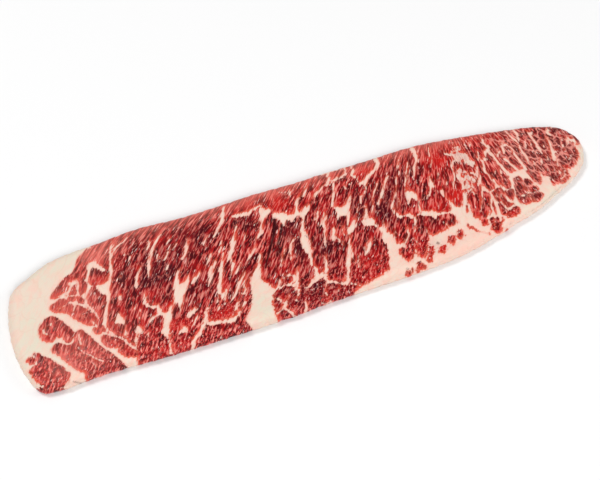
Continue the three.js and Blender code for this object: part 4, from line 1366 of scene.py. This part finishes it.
x, y = flat[corner_vertex].T
left, under = (middle_x < 0)[face_of_corner], below[face_of_corner]
pattern_x = np.where(left, x + PATTERN_WIDTH - MIDDLE_ROOM, x + MIDDLE_ROOM) / PATTERN_WIDTH
pattern_y = (y + FACE_SPAN / 2) / FACE_SPAN * FACE_STRIP + np.where(left, LEFT_FROM, RIGHT_FROM)
under_x, under_y = places[corner_vertex, :2].T
pattern_x = np.where(under, (under_x + UNDER_LENGTH / 2) / UNDER_LENGTH, pattern_x)
pattern_y = np.where(under, (UNDER_SPAN / 2 - under_y) / UNDER_SPAN * UNDER_STRIP, pattern_y)
pattern = np.column_stack([pattern_x, pattern_y]) * (1 - 2 * PATTERN_MARGIN) + PATTERN_MARGIN
while steak.data.uv_layers:
    steak.data.uv_layers.remove(steak.data.uv_layers[0])
steak.data.uv_layers.new(name="OFBake").data.foreach_set("uv", pattern.ravel())
print("the pattern spans", pattern.min(0).round(3), "to", pattern.max(0).round(3))

# %% [markdown]
# ## The finish
#
# One material covers the slice, because fat and lean are one piece of meat. The stored distance parts
# them, and a little noise along the grain frays it, so that fat enters the lean in small fingers. Images
# would be simpler to paint on, but they would blur up close, and noise doesn't.

# %% A small kit for wiring nodes
beef = bpy.data.materials.new("raw_beef")
beef.use_nodes = True
tree = beef.node_tree
tree.nodes.clear()


def node(kind, inputs=(), **settings):
    """A new node with its settings. An input that is a socket is wired, and any other is a value."""
    made = tree.nodes.new(kind)
    for name, value in settings.items():
        setattr(made, name, value)
    for name, value in dict(inputs).items():
        if isinstance(value, bpy.types.NodeSocket):
            tree.links.new(value, made.inputs[name])
        else:
            made.inputs[name].default_value = value
    return made


def maths(operation, a, b):
    return node("ShaderNodeMath", {0: a, 1: b}, operation=operation).outputs[0]


def times(a, b):
    return maths("MULTIPLY", a, b)


def plus(a, b):
    return maths("ADD", a, b)


def minus(a, b):
    return maths("SUBTRACT", a, b)


def split(vector):
    """The three numbers of a vector, as X, Y and Z."""
    return node("ShaderNodeSeparateXYZ", {0: vector}).outputs


def ramp(value, start, end, low=0.0, high=1.0):
    """Rises smoothly from low to high as value goes from start to end."""
    settings = {"Value": value, "From Min": start, "From Max": end, "To Min": low, "To Max": high}
    return node("ShaderNodeMapRange", settings, interpolation_type="SMOOTHSTEP").outputs["Result"]


def mixed(share, a, b):
    """Colour a, or b where share is 1."""
    made = node("ShaderNodeMix", {"Factor": share}, data_type="RGBA")
    for name, colour in (("A", a), ("B", b)):
        socket = next(s for s in made.inputs if s.name == name and s.type == "RGBA")
        if isinstance(colour, bpy.types.NodeSocket):
            tree.links.new(colour, socket)
        else:
            socket.default_value = colour
    return next(s for s in made.outputs if s.type == "RGBA")


def colour(red, green, blue):
    """A colour picked as 0 to 255 on a screen, as Blender wants it."""
    parts = [c / 255 for c in (red, green, blue)]
    return (*[((c + 0.055) / 1.055) ** 2.4 if c > 0.04045 else c / 12.92 for c in parts], 1.0)


def stored(name, output):
    return node("ShaderNodeAttribute", attribute_name=name).outputs[output]


grain_place = stored("grain", "Vector")


def scaled_grain(across_size, along_size, shift=0.0):
    """Places along the grain, in spots of these sizes in millimetres across and along the fibres."""
    sizes = (1 / across_size, 1 / along_size, 1)
    inputs = {"Vector": grain_place, "Location": (shift, shift, 0), "Scale": sizes}
    return node("ShaderNodeMapping", inputs).outputs[0]


def streaks(across_size, along_size, detail=2.0, shift=0.0):
    """Noise from 0 to 1 with spots of these sizes."""
    place = scaled_grain(across_size, along_size, shift)
    inputs = {"Vector": place, "Scale": 1.0, "Detail": detail, "Roughness": 0.5}
    return node("ShaderNodeTexNoise", inputs, noise_dimensions="2D").outputs["Fac"]


BUNDLE_BEND = (0.9, 0.9, 0)


def bundles(across_size, along_size, feature, shift=0.0):
    """Cells of these sizes, bent a little so that no two are alike."""
    place = scaled_grain(across_size, along_size, shift)
    noise = {"Vector": place, "Scale": 0.9, "Detail": 2.0}
    bend = node("ShaderNodeTexNoise", noise, noise_dimensions="2D").outputs["Color"]
    bend = node("ShaderNodeVectorMath", {0: bend, 1: BUNDLE_BEND}, operation="MULTIPLY").outputs[0]
    place = node("ShaderNodeVectorMath", {0: place, 1: bend}, operation="ADD").outputs[0]
    inputs = {"Vector": place, "Scale": 1.0}
    return node("ShaderNodeTexVoronoi", inputs, voronoi_dimensions="2D", feature=feature)


print("nodes so far:", len(tree.nodes))


# %% Where fat ends and lean begins
EDGE_FRAY, CRUMBLY_FRAY = 2.9, 1.1
FRAY_MIDDLE, HOLE_SHARE = 0.535, 0.58
HOLE_DEPTH = 5.0
hue = split(stored("fat_tone", "Vector"))
crumbly = split(grain_place)["Z"]
fray_depth = ramp(crumbly, 0, 1, EDGE_FRAY, CRUMBLY_FRAY)
fray = times(minus(streaks(1.4, 5.5, 2.5), FRAY_MIDDLE), fray_depth)
holes = times(minus(streaks(1.3, 1.9, 2.0, 91.0), HOLE_SHARE), HOLE_DEPTH)
fat = plus(plus(stored("fat", "Fac"), fray), times(holes, hue["Z"]))
fat_share = ramp(fat, -0.24, 0.28)
print("nodes so far:", len(tree.nodes))

# %% [markdown]
# Lean is a play of patterns of different sizes: long fibres, bundles of them, blotches a few millimetres
# wide and, where the fibres are cut squarely, crumbs. Each is a noise or a set of cells, stretched along
# the grain, and their sum is a shade from dark to light.

# %% Patterns in the lean
tones_and_sheen = split(stored("lean_tone_and_sheen", "Vector"))
light_and_shade_by_fat = split(stored("light_and_shade_by_fat", "Vector"))
fibres = streaks(1.9, 8.0, 2.0, 7.0)
lines = streaks(1.15, 6.5, 1.3, 77.0)
blotches = streaks(4.5, 9.0, 1.0, 61.0)
fine = streaks(0.8, 3.6, 2.0, 19.0)
bundle_shade = split(bundles(1.8, 8.0, "F1", 3.0).outputs["Color"])["X"]
bundle_edge = bundles(2.1, 6.5, "DISTANCE_TO_EDGE", 11.0).outputs["Distance"]
shade = plus(times(fibres, 0.56), times(bundle_shade, 0.08))
shade = plus(shade, times(blotches, 0.36))
crumb_edge = bundles(2.6, 3.6, "DISTANCE_TO_EDGE", 37.0).outputs["Distance"]
crumb_shade = split(bundles(2.6, 3.6, "F1", 37.0).outputs["Color"])["X"]
crumb = plus(ramp(crumb_edge, 0.0, 0.22, 0.56, 0.44), times(crumb_shade, 0.07))
shade = plus(shade, times(crumbly, minus(crumb, shade)))
lines = plus(times(lines, 0.65), times(shade, 0.35))
at_tip = ramp(split(grain_place)["X"], 96.0, 110.0)
tip_edge = bundles(3.4, 8.5, "DISTANCE_TO_EDGE", 71.0).outputs["Distance"]
shade = minus(shade, times(at_tip, 0.06))
lines = minus(lines, times(at_tip, 0.04))
print("nodes so far:", len(tree.nodes))

# %% [markdown]
# The shade picks the colour, from deep to pale, and its palest tops are partly painted highlights. Then
# the stored tones are laid over it one by one: purple, with painted shade on the near side of each vein
# of fat; orange-red, with painted light on its far side; salmon, with a painted sheen along the far edge;
# pale edges; flecks that are partly painted glints; and painted shade, near black, in the cleft. At the
# tip a pale net runs between the crumbs.

# %% Colours of the lean
LEAN_DEEP = colour(74, 0, 5)
LEAN = colour(138, 5, 15)
LEAN_LIGHT = colour(206, 52, 50)
LEAN_PALE_AND_HIGHLIGHT = colour(240, 152, 138)
LEAN_PURPLE_AND_SHADE = colour(76, 2, 16)
LEAN_ORANGE_AND_LIGHT = colour(200, 28, 24)
LEAN_SALMON_AND_SHEEN = colour(228, 124, 110)
LEAN_LIT_EDGE = colour(228, 104, 76)
CLEFT_SHADE = colour(54, 0, 6)
FLECK_AND_GLINT = colour(250, 208, 196)

lean = mixed(ramp(shade, 0.445, 0.545), LEAN_DEEP, LEAN)
lean = mixed(ramp(lines, 0.485, 0.575), lean, LEAN_LIGHT)
# The palest tops of the lines: partly pale fibre, partly painted highlights of wet meat.
lean = mixed(ramp(lines, 0.555, 0.65, 0.0, 0.9), lean, LEAN_PALE_AND_HIGHLIGHT)
lean = mixed(times(tones_and_sheen["X"], ramp(shade, 0.60, 0.44, 0.6, 1.0)), lean, LEAN_PURPLE_AND_SHADE)
# Painted shade: lean on the near side of a vein of fat is darkened towards purple.
lean = mixed(times(light_and_shade_by_fat["Y"], ramp(fibres, 0.6, 0.42, 0.1, 0.6)), lean, LEAN_PURPLE_AND_SHADE)
# Orange-red: bright tone, and painted light on the far side of a vein of fat.
warm_tone_and_light = maths("MAXIMUM", tones_and_sheen["Y"], times(light_and_shade_by_fat["X"], ramp(fibres, 0.38, 0.58, 0.3, 0.9)))
lean = mixed(times(warm_tone_and_light, ramp(shade, 0.40, 0.54, 0.5, 0.95)), lean, LEAN_ORANGE_AND_LIGHT)
# Painted light on the lean just past a vein of fat.
lit_edge_share = times(light_and_shade_by_fat["X"], ramp(fat, -1.5, -0.1, 0.0, 0.75))
lean = mixed(lit_edge_share, lean, LEAN_LIT_EDGE)
# Salmon tone, and painted sheen along the far edge.
lean = mixed(times(tones_and_sheen["Z"], ramp(fibres, 0.36, 0.6, 0.45, 0.8)), lean, LEAN_SALMON_AND_SHEEN)
pale_edge = times(ramp(bundle_edge, 0.14, 0.02), ramp(fine, 0.44, 0.6, 0.0, 0.6))
lean = mixed(pale_edge, lean, LEAN_SALMON_AND_SHEEN)
tip_net = times(at_tip, ramp(tip_edge, 0.17, 0.03, 0.0, 0.75))
lean = mixed(times(tip_net, ramp(blotches, 0.36, 0.56, 0.3, 1.0)), lean, LEAN_PALE_AND_HIGHLIGHT)
# Pale flecks: partly tiny specks of fat, partly painted glints of wet meat.
flecks_and_glints = ramp(streaks(0.8, 4.2, 1.0, 31.0), 0.66, 0.80)
fleck_and_glint_share = times(flecks_and_glints, ramp(streaks(9.0, 12.0, 1.0, 43.0), 0.42, 0.62, 0.15, 0.9))
lean = mixed(fleck_and_glint_share, lean, FLECK_AND_GLINT)
# Painted shade: near black where the cleft and cracks are too deep for light.
lean = mixed(times(light_and_shade_by_fat["Z"], 0.95), lean, CLEFT_SHADE)
print("nodes so far:", len(tree.nodes))

# %% The fat
FAT_CREAM = colour(234, 208, 192)
FAT_YELLOW = colour(220, 212, 192)
FAT_PINK = colour(240, 196, 180)
FAT_EDGE = colour(232, 166, 150)
FAT_CREASE = colour(226, 186, 166)
FAT_POROUS = colour(206, 158, 150)
CRACK_SHADE = colour(70, 12, 16)

clouds = streaks(4.0, 8.0, 4.0, 53.0)
cream = mixed(ramp(clouds, 0.40, 0.66, 0.0, 0.8), FAT_CREAM, FAT_PINK)
cream = mixed(times(hue["Y"], 0.7), cream, FAT_PINK)
cream = mixed(times(hue["X"], ramp(clouds, 0.62, 0.36, 0.6, 1.0)), cream, FAT_YELLOW)
cream = mixed(ramp(fat, 1.0, 0.1, 0.0, 0.6), cream, FAT_EDGE)
creases = bundles(7.0, 12.0, "DISTANCE_TO_EDGE", 23.0).outputs["Distance"]
cream = mixed(ramp(creases, 0.05, 0.0, 0.0, 0.3), cream, FAT_CREASE)
cream = mixed(times(hue["Z"], ramp(fine, 0.62, 0.4, 0.2, 0.8)), cream, FAT_POROUS)
# Painted shade: dark red where the cracks cross the fat.
cream = mixed(light_and_shade_by_fat["Z"], cream, CRACK_SHADE)
print("nodes so far:", len(tree.nodes))

# %% The wet surface
BUMP_HEIGHT = 0.00022
WET_MEAT = {
    "IOR": 1.36,
    "Specular IOR Level": 0.2,
    "Subsurface Weight": 0.1,
    "Subsurface Radius": (1.0, 0.35, 0.2),
    "Subsurface Scale": 0.0015,
}

shader = node("ShaderNodeBsdfPrincipled")
output = node("ShaderNodeOutputMaterial", {"Surface": shader.outputs[0]})
tree.links.new(mixed(fat_share, lean, cream), shader.inputs["Base Color"])
roughness = plus(times(fine, 0.22), ramp(fat_share, 0, 1, 0.22, 0.34))
tree.links.new(roughness, shader.inputs["Roughness"])
ripples = plus(times(fibres, 0.6), times(fine, 0.4))
ripples = times(ripples, ramp(fat_share, 0, 1, 1.0, 0.35))
bump = node("ShaderNodeBump", {"Height": ripples, "Strength": 0.6, "Distance": BUMP_HEIGHT})
tree.links.new(bump.outputs["Normal"], shader.inputs["Normal"])
for name, value in WET_MEAT.items():
    shader.inputs[name].default_value = value
steak.data.materials.clear()
steak.data.materials.append(beef)
print("the finish has", len(tree.nodes), "nodes")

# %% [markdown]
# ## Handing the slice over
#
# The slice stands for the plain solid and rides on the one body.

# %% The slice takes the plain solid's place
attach(steak, "root")
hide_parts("steak")
print(steak.name, "stands for the plain solid")

# %% [markdown]
# ## The studio
#
# A plain white floor and soft light from large lamps, as for a picture in a shop. A large lamp gives soft
# shadows and the wide calm glints of wet meat, where a bare sun would give hard ones. A weak lamp beside
# the tip keeps its fat rim bright.

# %% Floor and light
bpy.ops.object.select_all(action="DESELECT")
bpy.ops.mesh.primitive_plane_add(size=8.0, location=(0, 0, 0))
floor = bpy.context.object
floor.name = "floor"
paper = bpy.data.materials.new("white_paper")
paper.use_nodes = True
paper_shader = paper.node_tree.nodes["Principled BSDF"]
paper_shader.inputs["Base Color"].default_value = (0.9, 0.9, 0.9, 1)
paper_shader.inputs["Roughness"].default_value = 0.9
floor.data.materials.append(paper)

# Name, place and width in metres, and power in watts.
LAMPS = [
    ("key_light", (-0.9, 1.0, 2.0), 0.8, 26.0),
    ("front_light", (-0.1, -1.6, 1.3), 1.0, 19.5),
    ("tip_light", (1.6, -0.5, 0.9), 0.8, 6.5),
]
SKY_STRENGTH = 0.39


def soft_lamp(name, place, size, power):
    """A round lamp that looks at the slice."""
    bpy.ops.object.select_all(action="DESELECT")
    bpy.ops.object.light_add(type="AREA", location=place)
    lamp = bpy.context.object
    lamp.name = name
    lamp.data.shape = "DISK"
    lamp.data.size = size
    lamp.data.energy = power
    lamp.rotation_mode = "QUATERNION"
    lamp.rotation_quaternion = (-Vector(place)).to_track_quat("-Z", "Y")


for lamp in LAMPS:
    soft_lamp(*lamp)

world = bpy.data.worlds.new("studio")
world.use_nodes = True
world.node_tree.nodes["Background"].inputs["Color"].default_value = (1, 1, 1, 1)
world.node_tree.nodes["Background"].inputs["Strength"].default_value = SKY_STRENGTH
bpy.context.scene.world = world
bpy.context.scene.view_settings.view_transform = "Standard"
print(len(LAMPS), "lamps and a plain sky")
